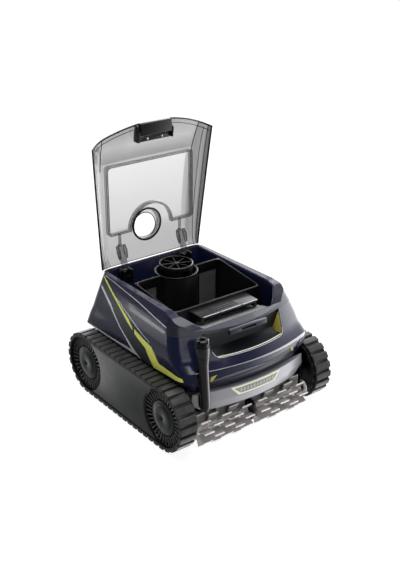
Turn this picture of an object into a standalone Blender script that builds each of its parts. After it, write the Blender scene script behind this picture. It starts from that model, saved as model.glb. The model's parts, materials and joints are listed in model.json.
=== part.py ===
"""A cordless tracked pool cleaner with its lid standing open.

Metres, +Z up, origin on the floor under the middle of the tracks. Front is -Y.
"""

from math import atan2, cos, pi, radians, sin, sqrt

import bmesh
import bpy
from mathutils import Matrix, Vector

# Driving dimensions
GAP = 0.0003                # clearance between pieces that touch
WALL = 0.003                # wall of the painted shells
THIN = 0.0025               # wall of the bay liner, the basket and the lid

TRACK_OUT = 0.215           # outer face of each belt from the middle plane
TRACK_IN = 0.1715           # inner face of each belt
WHEEL_Y = 0.1544            # wheel axes in front of and behind the middle
WHEEL_Z = 0.0757            # wheel axes above the floor, which is also the belt's outer radius
BELT_INNER = 0.0657
BELT_BASE = 0.0708
LUGS = 50
WHEEL_RADIUS = 0.0652
AXLE_RADIUS = 0.005

TUB_X, TUB_FRONT, TUB_REAR = 0.1525, -0.150, 0.196
TUB_LOW, TUB_TOP = 0.030, 0.150

FRAME_X = (0.1533, 0.1583)  # side frame plates
GEAR_X = (0.1605, 0.1655)   # brush drive gears

BRUSH_Y, BRUSH_Z, BRUSH_RADIUS = -0.189, 0.039, 0.0375
BRUSH_X = (0.0085, 0.150)
WHEEL_GEAR_RADIUS = 0.0335
BRUSH_GEAR_RADIUS = 0.0163

SPLIT_Y = -0.112            # joint between the body shell and the front pieces
BEZEL_Z = 0.2468            # joint between the bezel and the fascia
BAY_X = 0.1338              # half width of the bay opening
BAY_FRONT, BAY_REAR = -0.1523, 0.1757
BAY_CORNER = (0.0950, -0.1120)          # where the bay's front corners start to slant in
BAY_FLOOR = 0.1225
POCKET_Y = -0.0890          # where the bay's deep part meets its front shelf

DUCT_Y, DUCT_RADIUS, DUCT_TOP = 0.080, 0.0395, 0.305
ROTOR_Z = 0.2645            # middle of the impeller blades
BASKET_X, BASKET_FRONT, BASKET_REAR = 0.1215, -0.079, 0.075
BASKET_FLOOR = 0.129
TOWER_RADIUS = 0.0505
RIM_REAR, RIM_FRONT = 0.2865, 0.2700    # top of the basket's rim, back and front

HINGE_Y, HINGE_Z, HINGE_X = 0.1675, 0.2775, 0.0865
PIN_RADIUS = 0.003
LID_START, LID_END = 0.0090, 0.3505     # the lid's edges along its length, from the hinge axis
LID_BOW = 1.49                          # how fast the lid's front edge curves back
COLLAR_U = 0.0875
LATCH_U, LATCH_V = 0.322, -0.0125       # latch pivot along and across the lid

POST_TOP = Vector((-0.1355, -0.1975, 0.2600))
POST_BOTTOM = Vector((-0.1335, -0.2075, 0.0900))
POST_RADIUS = 0.0112

SLOT_TOP = 0.1470           # where the fascia steps back into the slot above the bumper

# Body levels: height, half width at the back, flare towards the front, back, front, bow of the front
LEVELS = [
    (0.2850, 0.1420, 0.030, 0.1820, -0.1580, 1.50),
    (0.2660, 0.1490, 0.046, 0.1855, -0.1660, 1.50),
    (0.2500, 0.1535, 0.050, 0.1890, -0.1755, 1.50),
    (0.2200, 0.1615, 0.050, 0.1960, -0.1935, 1.50),
    (0.2000, 0.1660, 0.040, 0.2010, -0.2060, 1.50),
    (0.1815, 0.1720, 0.018, 0.2060, -0.2189, 1.10),
    (0.1560, 0.1780, 0.000, 0.2120, -0.2165, 1.05),
]
FASCIA_FOOT = [
    (0.1535, 0.1685, 0.000, 0.2000, -0.2155, 1.05),
    (SLOT_TOP + 0.0002, 0.1685, 0.000, 0.2000, -0.2140, 1.05),
    (SLOT_TOP - 0.0002, 0.1610, 0.000, 0.2000, -0.2060, 1.05),
    (0.1310, 0.1610, 0.000, 0.2000, -0.2060, 1.05),
]
BUMPER_LEVELS = [
    (0.1300, 0.1655, 0.000, 0.1000, -0.2180, 1.05),
    (0.1063, 0.1655, 0.000, 0.1000, -0.2202, 1.05),
    (0.0870, 0.1400, 0.000, 0.1000, -0.2156, 1.05),
]
NOSE = [(-0.085, 0.2856), (-0.115, 0.2790), (-0.138, 0.2650), (-0.150, 0.2545),
        (-0.172, 0.2510), (-0.250, 0.2250)]

PARTS = None
CUTTERS = None


def start():
    """Empties the scene and makes the two collections."""
    global PARTS, CUTTERS
    for item in list(bpy.data.objects):
        bpy.data.objects.remove(item, do_unlink=True)
    PARTS = bpy.data.collections.new("pool_cleaner")
    CUTTERS = bpy.data.collections.new("cutters")
    bpy.context.scene.collection.children.link(PARTS)
    bpy.context.scene.collection.children.link(CUTTERS)


def paint(name, colour, roughness, metallic=0.0, alpha=1.0):
    """A Principled material for one sub-part."""
    material = bpy.data.materials.new(name)
    material.use_nodes = True
    shader = material.node_tree.nodes["Principled BSDF"]
    shader.inputs["Base Color"].default_value = (*colour, 1.0)
    shader.inputs["Roughness"].default_value = roughness
    shader.inputs["Metallic"].default_value = metallic
    shader.inputs["Alpha"].default_value = alpha
    return material


NAVY = ((0.030, 0.036, 0.075), 0.25, 0.4)
SILVER = ((0.42, 0.43, 0.46), 0.35, 0.7)
YELLOW = ((0.72, 0.78, 0.05), 0.40)
OLIVE = ((0.40, 0.38, 0.06), 0.50)
BLACK = ((0.012, 0.012, 0.013), 0.45)
GRAPHITE = ((0.070, 0.075, 0.072), 0.50)
RUBBER = ((0.030, 0.030, 0.030), 0.75)
SMOKE = ((0.30, 0.30, 0.31), 0.10, 0.0, 0.45)
MESH_GREY = ((0.16, 0.16, 0.16), 0.60)
BLADE = ((0.42, 0.38, 0.37), 0.35)
STEEL = ((0.55, 0.55, 0.56), 0.30, 1.0)
GUNMETAL = ((0.060, 0.055, 0.055), 0.30, 0.6)
BLUE_PACK = ((0.03, 0.10, 0.30), 0.45)


def finish(item, name, look):
    """Names the object and its mesh, gives it its own material and puts it in the parts collection."""
    item.name = name
    item.data.name = name
    item.data.materials.clear()
    item.data.materials.append(paint(name + "_finish", *look))
    for home in list(item.users_collection):
        home.objects.unlink(item)
    PARTS.objects.link(item)
    item.data.shade_smooth()
    item.data.set_sharp_from_angle(angle=radians(35.0))
    return item


def cutter(item):
    """Marks a shape as one that only cuts or joins others."""
    for home in list(item.users_collection):
        home.objects.unlink(item)
    CUTTERS.objects.link(item)
    item.hide_render = True
    item.display_type = "WIRE"
    return item


def from_bmesh(shape):
    mesh = bpy.data.meshes.new("shape")
    shape.to_mesh(mesh)
    shape.free()
    item = bpy.data.objects.new("shape", mesh)
    bpy.context.scene.collection.objects.link(item)
    return item


def combine(item, tool, operation="DIFFERENCE"):
    """A Boolean of a tool, which becomes a cutter, on an item."""
    change = item.modifiers.new(operation.lower(), "BOOLEAN")
    change.operation = operation
    change.solver = "EXACT"
    change.object = cutter(tool)
    return item


def block(low, high, edge=0.0):
    """A box between two corners, its edges rounded by one chamfer where asked."""
    low, high = Vector(low), Vector(high)
    shape = bmesh.new()
    bmesh.ops.create_cube(shape, size=1.0)
    size = high - low
    middle = (high + low) / 2
    for vert in shape.verts:
        vert.co = Vector((vert.co.x * size.x, vert.co.y * size.y, vert.co.z * size.z)) + middle
    if edge:
        bmesh.ops.bevel(shape, geom=shape.edges, offset=edge, segments=1, affect="EDGES")
    return from_bmesh(shape)


def rod(start_point, end_point, radius, sides=20, end_radius=None):
    """A round bar between two points."""
    start_point, end_point = Vector(start_point), Vector(end_point)
    along = end_point - start_point
    shape = bmesh.new()
    bmesh.ops.create_cone(shape, cap_ends=True, segments=sides, radius1=radius,
                          radius2=radius if end_radius is None else end_radius, depth=along.length)
    turn = along.to_track_quat("Z", "Y").to_matrix().to_4x4()
    bmesh.ops.transform(shape, matrix=Matrix.Translation((start_point + end_point) / 2) @ turn,
                        verts=shape.verts)
    return from_bmesh(shape)


def plate(outlines, axis, low, high):
    """Flat outlines extruded along an axis. Later outlines inside the first are holes."""
    curve = bpy.data.curves.new("outline", "CURVE")
    curve.dimensions = "2D"
    curve.fill_mode = "BOTH"
    curve.extrude = (high - low) / 2
    for outline in outlines:
        line = curve.splines.new("POLY")
        line.points.add(len(outline) - 1)
        for point, (across, up) in zip(line.points, outline):
            point.co = (across, up, 0.0, 1.0)
        line.use_cyclic_u = True
    source = bpy.data.objects.new("outline", curve)
    bpy.context.scene.collection.objects.link(source)
    bpy.context.view_layer.update()
    mesh = bpy.data.meshes.new_from_object(source.evaluated_get(bpy.context.evaluated_depsgraph_get()))
    bpy.data.objects.remove(source)
    frames = {
        "X": Matrix(((0, 0, 1), (1, 0, 0), (0, 1, 0))),
        "Y": Matrix(((1, 0, 0), (0, 0, -1), (0, 1, 0))),
        "Z": Matrix.Identity(3),
    }
    middle = {"X": Vector((1, 0, 0)), "Y": Vector((0, 1, 0)), "Z": Vector((0, 0, 1))}[axis] * (low + high) / 2
    shape = bmesh.new()
    shape.from_mesh(mesh)
    bpy.data.meshes.remove(mesh)
    bmesh.ops.remove_doubles(shape, verts=shape.verts, dist=0.00001)
    bmesh.ops.transform(shape, matrix=Matrix.Translation(middle) @ frames[axis].to_4x4(), verts=shape.verts)
    bmesh.ops.recalc_face_normals(shape, faces=shape.faces)
    return from_bmesh(shape)


def turned(profile, axis, centre, steps=32):
    """A closed (radius, distance) profile turned about an axis through centre, by a Screw modifier."""
    mesh = bpy.data.meshes.new("profile")
    count = len(profile)
    on_axis = profile[0][0] == 0.0 and profile[-1][0] == 0.0
    edges = [(i, (i + 1) % count) for i in range(count - 1 if on_axis else count)]
    mesh.from_pydata([(radius, 0.0, height) for radius, height in profile], edges, [])
    item = bpy.data.objects.new("profile", mesh)
    bpy.context.scene.collection.objects.link(item)
    turn = item.modifiers.new("turn", "SCREW")
    turn.axis = "Z"
    turn.steps = steps
    turn.render_steps = steps
    turn.use_merge_vertices = True
    turn.merge_threshold = 0.00002
    turn.use_normal_calculate = True
    bpy.context.view_layer.update()
    solid = bpy.data.meshes.new_from_object(item.evaluated_get(bpy.context.evaluated_depsgraph_get()))
    bpy.data.objects.remove(item)
    facing = {"Z": Matrix.Identity(4), "X": Matrix.Rotation(pi / 2, 4, "Y")}[axis]
    shape = bmesh.new()
    shape.from_mesh(solid)
    bpy.data.meshes.remove(solid)
    bmesh.ops.remove_doubles(shape, verts=shape.verts, dist=0.00001)
    bmesh.ops.transform(shape, matrix=Matrix.Translation(centre) @ facing, verts=shape.verts)
    bmesh.ops.recalc_face_normals(shape, faces=shape.faces)
    return from_bmesh(shape)


def mirrored(item):
    """The same shape on the other side of the middle plane, still facing out."""
    shape = bmesh.new()
    shape.from_mesh(item.data)
    bmesh.ops.scale(shape, vec=(-1, 1, 1), verts=shape.verts)
    bmesh.ops.reverse_faces(shape, faces=shape.faces)
    return from_bmesh(shape)


def sided(build, name, look, hand):
    """A piece built on +X and moved to its side: hand is 1 for the right and -1 for the left."""
    item = build()
    if hand < 0:
        baked = bpy.data.meshes.new_from_object(settled(item))
        tools = [change.object for change in item.modifiers]
        bpy.data.objects.remove(item)
        for tool in tools:
            bpy.data.objects.remove(tool)
        plain = bpy.data.objects.new("plain", baked)
        bpy.context.scene.collection.objects.link(plain)
        item = mirrored(plain)
        bpy.data.objects.remove(plain)
    return finish(item, name, look)


def settled(item):
    bpy.context.view_layer.update()
    return item.evaluated_get(bpy.context.evaluated_depsgraph_get())


def pivot(name, place, parent=None):
    """An empty on a joint's axis."""
    empty = bpy.data.objects.new(name, None)
    empty.location = Vector(place) - (parent.matrix_world.translation if parent else Vector())
    empty.empty_display_size = 0.02
    PARTS.objects.link(empty)
    empty.parent = parent
    bpy.context.view_layer.update()
    return empty


def hang(empty, *items):
    """Parents pieces to the empty on their joint's axis and leaves them where they are."""
    for item in items:
        item.parent = empty
        item.matrix_parent_inverse = empty.matrix_world.inverted()


def arc(centre, radius, start_angle, end_angle, steps):
    """Points on a circle, angles in degrees, both ends included."""
    angles = [radians(start_angle + (end_angle - start_angle) * i / steps) for i in range(steps + 1)]
    return [(centre[0] + radius * cos(a), centre[1] + radius * sin(a)) for a in angles]


def bend(before, corner, after, steps=4):
    """Points on the curve that rounds off a corner."""
    points = []
    for i in range(steps + 1):
        t = i / steps
        points.append(tuple((1 - t) ** 2 * a + 2 * t * (1 - t) * b + t * t * c
                            for a, b, c in zip(before, corner, after)))
    return points


# The body

def half_ring(level, inset):
    """The right half of the body's outline at one level, from the back to the front."""
    height, width, flare, back, front, bow = level
    back -= inset
    front += inset
    side = lambda y: width - inset + flare * (0.18 - y)
    nose = lambda x: front + bow * x * x
    corner_x, corner_y = side(nose(width)), nose(width)
    for _ in range(6):
        corner_x = side(corner_y)
        corner_y = nose(corner_x)
    round_back, round_front = 0.022, 0.020
    points = [(0.0, back), (side(back) * 0.5, back)]
    points += bend((side(back) - round_back, back), (side(back), back),
                   (side(back - round_back), back - round_back))
    for share in (0.2, 0.4, 0.6, 0.8):
        y = back - round_back + (corner_y + round_front - back + round_back) * share
        points.append((side(y), y))
    points += bend((side(corner_y + round_front), corner_y + round_front), (corner_x, corner_y),
                   (corner_x - round_front, nose(corner_x - round_front)))
    for share in (0.75, 0.5, 0.25, 0.0):
        x = (corner_x - round_front) * share
        points.append((x, nose(x)))
    return [(x, y, height) for x, y in points]


def body_solid(levels, inset=0.0, top=None, bottom=None):
    """The body's outlines at the given levels, joined into one solid."""
    levels = [list(level) for level in levels]
    if top is not None:
        levels[0][0] = top
    if bottom is not None:
        levels[-1][0] = bottom
    shape = bmesh.new()
    rings = []
    for level in levels:
        right = half_ring(level, inset)
        left = [(-x, y, z) for x, y, z in reversed(right[1:-1])]
        rings.append([shape.verts.new(point) for point in right + left])
    count = len(rings[0])
    for upper, lower in zip(rings, rings[1:]):
        for i in range(count):
            j = (i + 1) % count
            shape.faces.new((upper[i], upper[j], lower[j], lower[i]))
    shape.faces.new(rings[0])
    shape.faces.new(rings[-1])
    bmesh.ops.triangulate(shape, faces=shape.faces)
    bmesh.ops.recalc_face_normals(shape, faces=shape.faces)
    return from_bmesh(shape)


def nose_cutter(drop=0.0):
    """What slopes the top of the body down at its front."""
    line = [(y, z - drop) for y, z in NOSE]
    return plate([line + [(-0.250, 0.330), (line[0][0] + drop, 0.330)]], "X", -0.25, 0.25)


def bay_outline(inset=0.0):
    """The bay seen from above: a rectangle with its front corners cut off."""
    half = [(BAY_X - inset, BAY_REAR - inset), (BAY_X - inset, BAY_CORNER[1]),
            ((BAY_X + BAY_CORNER[0]) / 2 - inset, (BAY_CORNER[1] + BAY_FRONT) / 2 - 0.006 + inset),
            (BAY_CORNER[0], BAY_FRONT + inset)]
    return [(-x, y) for x, y in reversed(half)] + half


def painted_shell(levels, low_y, high_y, low_z, high_z):
    """The part of the body's painted skin inside a box, open underneath."""
    item = body_solid(levels)
    raised = []
    for height, *rest in levels:
        at_slot = abs(height - SLOT_TOP) < 0.001
        raised.append((height + (WALL if at_slot else 0.0), *rest))
    hollow = body_solid(raised, WALL, top=levels[0][0] - WALL, bottom=levels[-1][0] - 0.02)
    combine(hollow, nose_cutter(WALL))
    combine(item, hollow)
    combine(item, nose_cutter())
    combine(item, plate([bay_outline()], "Z", 0.20, 0.32))
    combine(item, block((-0.3, low_y, low_z), (0.3, high_y, high_z)), "INTERSECT")
    return item


def post_channel(item):
    """Clears the space that the corner post stands in."""
    along = (POST_TOP - POST_BOTTOM).normalized()
    return combine(item, rod(POST_BOTTOM - along * 0.03, POST_TOP + along * 0.03, POST_RADIUS + 0.0036, 24))


def build_shells():
    finish(painted_shell(LEVELS, SPLIT_Y, 0.25, 0.10, 0.30), "body_shell", NAVY)
    bezel = painted_shell(LEVELS, -0.25, SPLIT_Y - GAP, BEZEL_Z + GAP, 0.30)
    post_channel(bezel)
    finish(bezel, "front_bezel", SILVER)
    fascia = painted_shell(LEVELS + FASCIA_FOOT, -0.25, SPLIT_Y - GAP, 0.10, BEZEL_Z)
    mouth = [(-0.112, 0.2600), (-0.094, 0.1995), (0.094, 0.1995), (0.112, 0.2600)]
    combine(fascia, plate([mouth], "Y", -0.26, -0.130))
    post_channel(fascia)
    finish(fascia, "front_fascia", NAVY)
    bumper = body_solid(BUMPER_LEVELS)
    combine(bumper, body_solid(BUMPER_LEVELS, WALL, top=BUMPER_LEVELS[0][0] - WALL, bottom=0.080))
    combine(bumper, block((-0.3, -0.30, 0.05), (0.3, -0.190, 0.20)), "INTERSECT")
    post_channel(bumper)
    finish(bumper, "bumper_bar", SILVER)


def skin_patch(levels, outline, axis, low, high, proud):
    """A thin plate that follows the painted skin, standing proud of it."""
    item = plate([outline], axis, low, high)
    combine(item, body_solid(levels, -proud), "INTERSECT")
    combine(item, body_solid(levels, -GAP))
    return item


STRIPE = [(0.160, 0.2790), (0.155, 0.2690), (0.0934, 0.2386), (0.0455, 0.2200), (0.0092, 0.2100),
          (-0.0003, 0.2043), (-0.0463, 0.1894), (-0.0567, 0.1777), (-0.0808, 0.1570), (-0.176, 0.1620),
          (-0.176, 0.1712), (-0.0986, 0.1737), (-0.0693, 0.2012), (-0.0277, 0.2075), (0.0020, 0.2142),
          (0.0121, 0.2140), (0.0333, 0.2262), (0.0763, 0.2429), (0.1462, 0.2721)]


def build_trim():
    for hand, side in ((-1, "left"), (1, "right")):
        finish(skin_patch(LEVELS, STRIPE, "X", *sorted((0.10 * hand, 0.22 * hand)), 0.0012),
               "side_stripe_" + side, YELLOW)
    shield = [(-0.0703, 0.1287), (-0.0514, 0.1063), (0.0514, 0.1063), (0.0703, 0.1287)]
    finish(skin_patch(BUMPER_LEVELS, shield, "Y", -0.26, -0.15, 0.0016), "badge_plate", YELLOW)


def build_grip():
    """The pocket behind the opening of the fascia, its trim and the latch catch above it."""
    outer = block((-0.100, -0.1840, 0.1960), (0.100, -0.1560, 0.2030))
    wall = block((-0.100, -0.1590, 0.1970), (0.100, -0.1570, 0.2300))
    combine(outer, wall, "UNION")
    finish(outer, "grip_pocket", GRAPHITE)
    trim = block((-0.0900, -0.1935, 0.2036), (0.0900, -0.1700, 0.2056))
    for hand in (-1, 1):
        combine(trim, block(*zip(*[sorted(pair) for pair in
                ((0.0880 * hand, 0.0905 * hand), (-0.1900, -0.1650), (0.2036, 0.2300))])), "UNION")
    finish(trim, "pocket_trim", OLIVE)
    catch = block((-0.052, -0.1865, 0.2380), (0.052, -0.1778, 0.2500), 0.001)
    combine(catch, block((-0.020, -0.190, 0.2415), (0.020, -0.1800, 0.2465)))
    finish(catch, "latch_catch", SILVER)


def build_tub():
    tub = block((-TUB_X, TUB_FRONT, TUB_LOW), (TUB_X, TUB_REAR, TUB_TOP), 0.004)
    combine(tub, block((-TUB_X + WALL, TUB_FRONT + WALL, TUB_LOW + WALL),
                       (TUB_X - WALL, TUB_REAR - WALL, 0.20)))
    combine(tub, block((-0.055, -0.035, TUB_LOW + 0.001), (0.055, 0.000, BAY_FLOOR - GAP)), "UNION")
    combine(tub, block((-0.052, -0.032, 0.0), (0.052, -0.003, 0.20)))
    for hand in (-1, 1):
        combine(tub, rod((0.14 * hand, WHEEL_Y, WHEEL_Z), (0.16 * hand, WHEEL_Y, WHEEL_Z), 0.0065))
    finish(tub, "chassis_tub", BLACK)


def build_liner():
    """The painted liner of the bay: a deep part for the basket and a shelf in front of it."""
    low_front, low_shelf = 0.2380, 0.2040
    outer = [(BAY_REAR - GAP, 0.2835), (BAY_REAR - GAP, BAY_FLOOR), (POCKET_Y, BAY_FLOOR),
             (POCKET_Y, low_shelf), (BAY_FRONT + GAP, low_front), (BAY_FRONT + GAP, 0.2835)]
    inner = [(BAY_REAR - GAP - THIN, 0.3200), (BAY_REAR - GAP - THIN, BAY_FLOOR + THIN),
             (POCKET_Y + THIN, BAY_FLOOR + THIN), (POCKET_Y + THIN, low_shelf + 0.0010),
             (BAY_FRONT + GAP + THIN, low_front + THIN), (BAY_FRONT + GAP + THIN, 0.3200)]
    liner = plate([outer], "X", -0.2, 0.2)
    combine(liner, plate([bay_outline(GAP)], "Z", 0.05, 0.40), "INTERSECT")
    hollow = plate([inner], "X", -0.19, 0.19)
    combine(hollow, plate([bay_outline(GAP + THIN)], "Z", 0.04, 0.41), "INTERSECT")
    combine(liner, hollow)
    combine(liner, nose_cutter(0.0015))
    combine(liner, block((-0.052, -0.032, 0.10), (0.052, -0.003, 0.15)))
    combine(liner, rod((0, DUCT_Y, 0.10), (0, DUCT_Y, 0.15), 0.006))
    finish(liner, "bay_liner", NAVY)


# Pump

def about_duct(angle):
    """A turn about the duct's axis, for a shape made at the origin."""
    return Matrix.Translation((0, DUCT_Y, 0)) @ Matrix.Rotation(radians(angle), 4, "Z")


def build_pump():
    motor = [(0.0, 0.0335), (0.030, 0.0335), (0.034, 0.0375), (0.034, 0.112), (0.012, 0.112), (0.012, 0.1185),
             (0.0, 0.1185)]
    finish(turned(motor, "Z", (0, DUCT_Y, 0), 28), "pump_motor", GRAPHITE)
    inner = DUCT_RADIUS - 0.003
    duct = [(inner, 0.1253), (0.0440, 0.1253), (0.0440, 0.1280), (DUCT_RADIUS - 0.001, 0.1280),
            (DUCT_RADIUS - 0.001, 0.2960), (DUCT_RADIUS, 0.2960), (DUCT_RADIUS, DUCT_TOP), (inner, DUCT_TOP)]
    tube = turned(duct, "Z", (0, DUCT_Y, 0), 30)
    combine(tube, block((-0.06, DUCT_Y - 0.012, 0.136), (0.06, DUCT_Y + 0.012, 0.176)))
    combine(tube, block((-0.012, DUCT_Y - 0.06, 0.136), (0.012, DUCT_Y + 0.06, 0.176)))
    finish(tube, "outlet_duct", BLACK)
    ring = [(inner - 0.0035, 0.3000), (inner - GAP, 0.3000), (inner - GAP, 0.3045), (inner - 0.0035, 0.3045)]
    guard = turned(ring, "Z", (0, DUCT_Y, 0), 30)
    combine(guard, rod((0, DUCT_Y, 0.3000), (0, DUCT_Y, 0.3045), 0.005, 16), "UNION")
    for i in range(4):
        spoke = block((-inner + 0.002, -0.0008, 0.3005), (inner - 0.002, 0.0008, 0.3040))
        spoke.data.transform(about_duct(22.5 + 45 * i))
        combine(guard, spoke, "UNION")
    finish(guard, "outlet_grille", BLACK)
    rotor = turned([(0.0, 0.2400), (0.0030, 0.2400), (0.0105, 0.2480), (0.0110, 0.2800), (0.0050, 0.2880),
                    (0.0, 0.2880)], "Z", (0, DUCT_Y, 0), 20)
    combine(rotor, rod((0, DUCT_Y, 0.1195), (0, DUCT_Y, 0.2450), 0.003, 12), "UNION")
    for i in range(4):
        blade = block((0.004, -0.0012, 0.2530), (inner - 0.0025, 0.0012, 0.2760))
        pitched = Matrix.Translation((0, 0, ROTOR_Z)) @ Matrix.Rotation(radians(40), 4, "X")
        blade.data.transform(about_duct(22.5 + 90 * i) @ pitched @ Matrix.Translation((0, 0, -ROTOR_Z)))
        combine(rotor, blade, "UNION")
    finish(rotor, "impeller", GRAPHITE)
    hang(pivot("pump_axis", (0, DUCT_Y, ROTOR_Z)), rotor)


def build_power():
    finish(block((-0.105, -0.1430, 0.0345), (0.105, -0.0450, 0.1000), 0.006), "battery_pack", BLUE_PACK)
    for hand, side in ((-1, "left"), (1, "right")):
        outline = [(0.0, 0.0600), (0.0200, 0.0600), (0.0200, 0.1240), (0.0120, 0.1240), (0.0120, 0.1300),
                   (0.0, 0.1300)]
        motor = turned(outline, "X", (0, WHEEL_Y, WHEEL_Z), 24)
        if hand < 0:
            plain = motor
            motor = mirrored(plain)
            bpy.data.objects.remove(plain)
        finish(motor, "drive_motor_" + side, GRAPHITE)


# Filter basket

def build_basket():
    top = [(BASKET_REAR, RIM_REAR), (BASKET_REAR, BASKET_FLOOR), (BASKET_FRONT, BASKET_FLOOR),
           (BASKET_FRONT, RIM_FRONT)]
    basket = plate([top], "X", -BASKET_X, BASKET_X)
    combine(basket, block((-BASKET_X + THIN, BASKET_FRONT + THIN, BASKET_FLOOR + THIN),
                          (BASKET_X - THIN, BASKET_REAR - THIN, 0.32)))
    combine(basket, rod((0, DUCT_Y, 0.10), (0, DUCT_Y, 0.34), TOWER_RADIUS - THIN / 2, 40))
    tower = turned([(TOWER_RADIUS - THIN, BASKET_FLOOR + 0.0007), (TOWER_RADIUS, BASKET_FLOOR + 0.0007),
                    (TOWER_RADIUS, RIM_REAR), (TOWER_RADIUS - THIN, RIM_REAR)], "Z", (0, DUCT_Y, 0), 40)
    combine(basket, tower, "UNION")
    combine(basket, block((-0.046, -0.028, 0.12), (0.046, -0.006, 0.14)))
    for hand in (-1, 1):
        low, high = sorted((0.062 * hand, 0.112 * hand))
        combine(basket, block((low, BASKET_REAR - 0.01, 0.165), (high, BASKET_REAR + 0.01, 0.262)))
    finish(basket, "canister_basket", BLACK)
    screens = []
    for hand, side in ((-1, "left"), (1, "right")):
        low, high = sorted((0.0623 * hand, 0.1117 * hand))
        screen = block((low, BASKET_REAR - 0.0020, 0.1653), (high, BASKET_REAR - 0.0005, 0.2617))
        screens.append(finish(screen, "canister_mesh_" + side, MESH_GREY))
    grip = block((-0.080, -0.1235, 0.2570), (0.080, BASKET_FRONT - GAP, 0.2620), 0.0008)
    combine(grip, block((-0.080, -0.1235, 0.2460), (0.080, -0.1215, 0.2600)), "UNION")
    for hand in (-1, 1):
        low, high = sorted((0.0772 * hand, 0.080 * hand))
        combine(grip, block((low, -0.1230, 0.2300), (high, BASKET_FRONT - GAP, 0.2600)), "UNION")
    finish(grip, "canister_handle", BLACK)
    flap_z = BASKET_FLOOR + THIN + GAP
    flap = block((-0.050, -0.0318, flap_z), (0.050, -0.0020, flap_z + 0.002))
    finish(flap, "intake_flap", RUBBER)
    lift = pivot("canister_lift_axis", (0, 0, BASKET_FLOOR))
    hang(lift, basket, grip, *screens)
    hang(pivot("intake_flap_axis", (0, -0.0318, flap_z + 0.001), lift), flap)


# Tracks

def stadium(radius, steps=22):
    """A belt outline: two half circles about the wheel axes and the straight runs between them."""
    front = arc((-WHEEL_Y, WHEEL_Z), radius, 90, 270, steps)
    rear = arc((WHEEL_Y, WHEEL_Z), radius, -90, 90, steps)
    return front + rear


def along_belt(distance, height):
    """A point on the belt this far along its inner line, this high above it."""
    straight = 2 * WHEEL_Y
    bend_length = pi * BELT_INNER
    distance %= 2 * (straight + bend_length)
    radius = BELT_INNER + height
    if distance < straight:
        return -WHEEL_Y + distance, WHEEL_Z - radius
    distance -= straight
    if distance < bend_length:
        angle = -pi / 2 + distance / BELT_INNER
        return WHEEL_Y + radius * cos(angle), WHEEL_Z + radius * sin(angle)
    distance -= bend_length
    if distance < straight:
        return WHEEL_Y - distance, WHEEL_Z + radius
    angle = pi / 2 + (distance - straight) / BELT_INNER
    return -WHEEL_Y + radius * cos(angle), WHEEL_Z + radius * sin(angle)


def belt():
    """The rubber belt with its lugs; the lugs are flat blocks with narrow grooves between them."""
    pitch = 2 * (2 * WHEEL_Y + pi * BELT_INNER) / LUGS
    groove = 0.0032
    base, crown = BELT_BASE - BELT_INNER, WHEEL_Z - BELT_INNER
    outline = []
    for i in range(LUGS):
        start_at = i * pitch
        outline.append(along_belt(start_at, base))
        outline.append(along_belt(start_at + groove - 0.0008, base))
        outline.append(along_belt(start_at + groove, crown))
        outline.append(along_belt(start_at + pitch - 0.0008, crown))
    return plate([outline, stadium(BELT_INNER)], "X", TRACK_IN, TRACK_OUT)


def side_cover():
    """The plain panel between the wheels: flat outside, with a pocket inside."""
    half, notch = 0.0640, 0.0672
    tilt = atan2(half, sqrt(notch ** 2 - half ** 2)) * 180 / pi

    def outline(inset):
        rear = arc((WHEEL_Y, WHEEL_Z), notch + inset, 180 - tilt, 180 + tilt, 12)
        front = arc((-WHEEL_Y, WHEEL_Z), notch + inset, -tilt, tilt, 12)
        return [(y, max(WHEEL_Z - half + inset, min(WHEEL_Z + half - inset, z))) for y, z in rear + front]

    panel = plate([outline(0.0)], "X", 0.2000, 0.2130)
    return combine(panel, plate([outline(0.003)], "X", 0.1950, 0.2100))


def side_frame():
    """The plate that carries the wheels of one side."""
    holes = [[(y, z) for y, z in reversed(arc((centre, WHEEL_Z), radius, 0, 345, 15))]
             for centre, radius in ((-WHEEL_Y, AXLE_RADIUS + GAP), (WHEEL_Y, 0.0065))]
    frame = plate([stadium(0.040, 8)] + holes, "X", *FRAME_X)
    tongue = [(BRUSH_Y + 0.030, BRUSH_Z + 0.012), *arc((BRUSH_Y, BRUSH_Z), 0.012, 90, 270, 8),
              (BRUSH_Y + 0.030, BRUSH_Z - 0.0015)]
    combine(frame, plate([tongue], "X", *FRAME_X), "UNION")
    bore = rod((FRAME_X[0] - 0.01, BRUSH_Y, BRUSH_Z), (FRAME_X[1] + 0.01, BRUSH_Y, BRUSH_Z), 0.0048, 16)
    return combine(frame, bore)


def wheel(driving_brush):
    """A wheel turned about its axle. The front ones carry the gear that drives the brush."""
    hub = [(0.0053, 0.1670), (0.0140, 0.1670)]
    if driving_brush:
        hub = [(0.0053, GEAR_X[0]), (WHEEL_GEAR_RADIUS, GEAR_X[0]), (WHEEL_GEAR_RADIUS, GEAR_X[1]),
               (0.0140, GEAR_X[1])]
    rim = [(0.0140, 0.1880), (0.0610, 0.1880), (0.0610, 0.1668), (0.0690, 0.1668), (0.0690, 0.1700),
           (WHEEL_RADIUS, 0.1700), (WHEEL_RADIUS, 0.2095), (0.0625, 0.2095), (0.0600, 0.2040),
           (0.0415, 0.2000), (0.0415, 0.1960), (0.0053, 0.1960)]
    return hub + rim


CAP = [(0.0, 0.2055), (0.0120, 0.2055), (0.0120, 0.1963), (0.0400, 0.1963), (0.0400, 0.2060),
       (0.0380, 0.2085), (0.0290, 0.2092), (0.0280, 0.2112), (0.0060, 0.2112), (0.0030, 0.2096),
       (0.0, 0.2096)]


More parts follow.
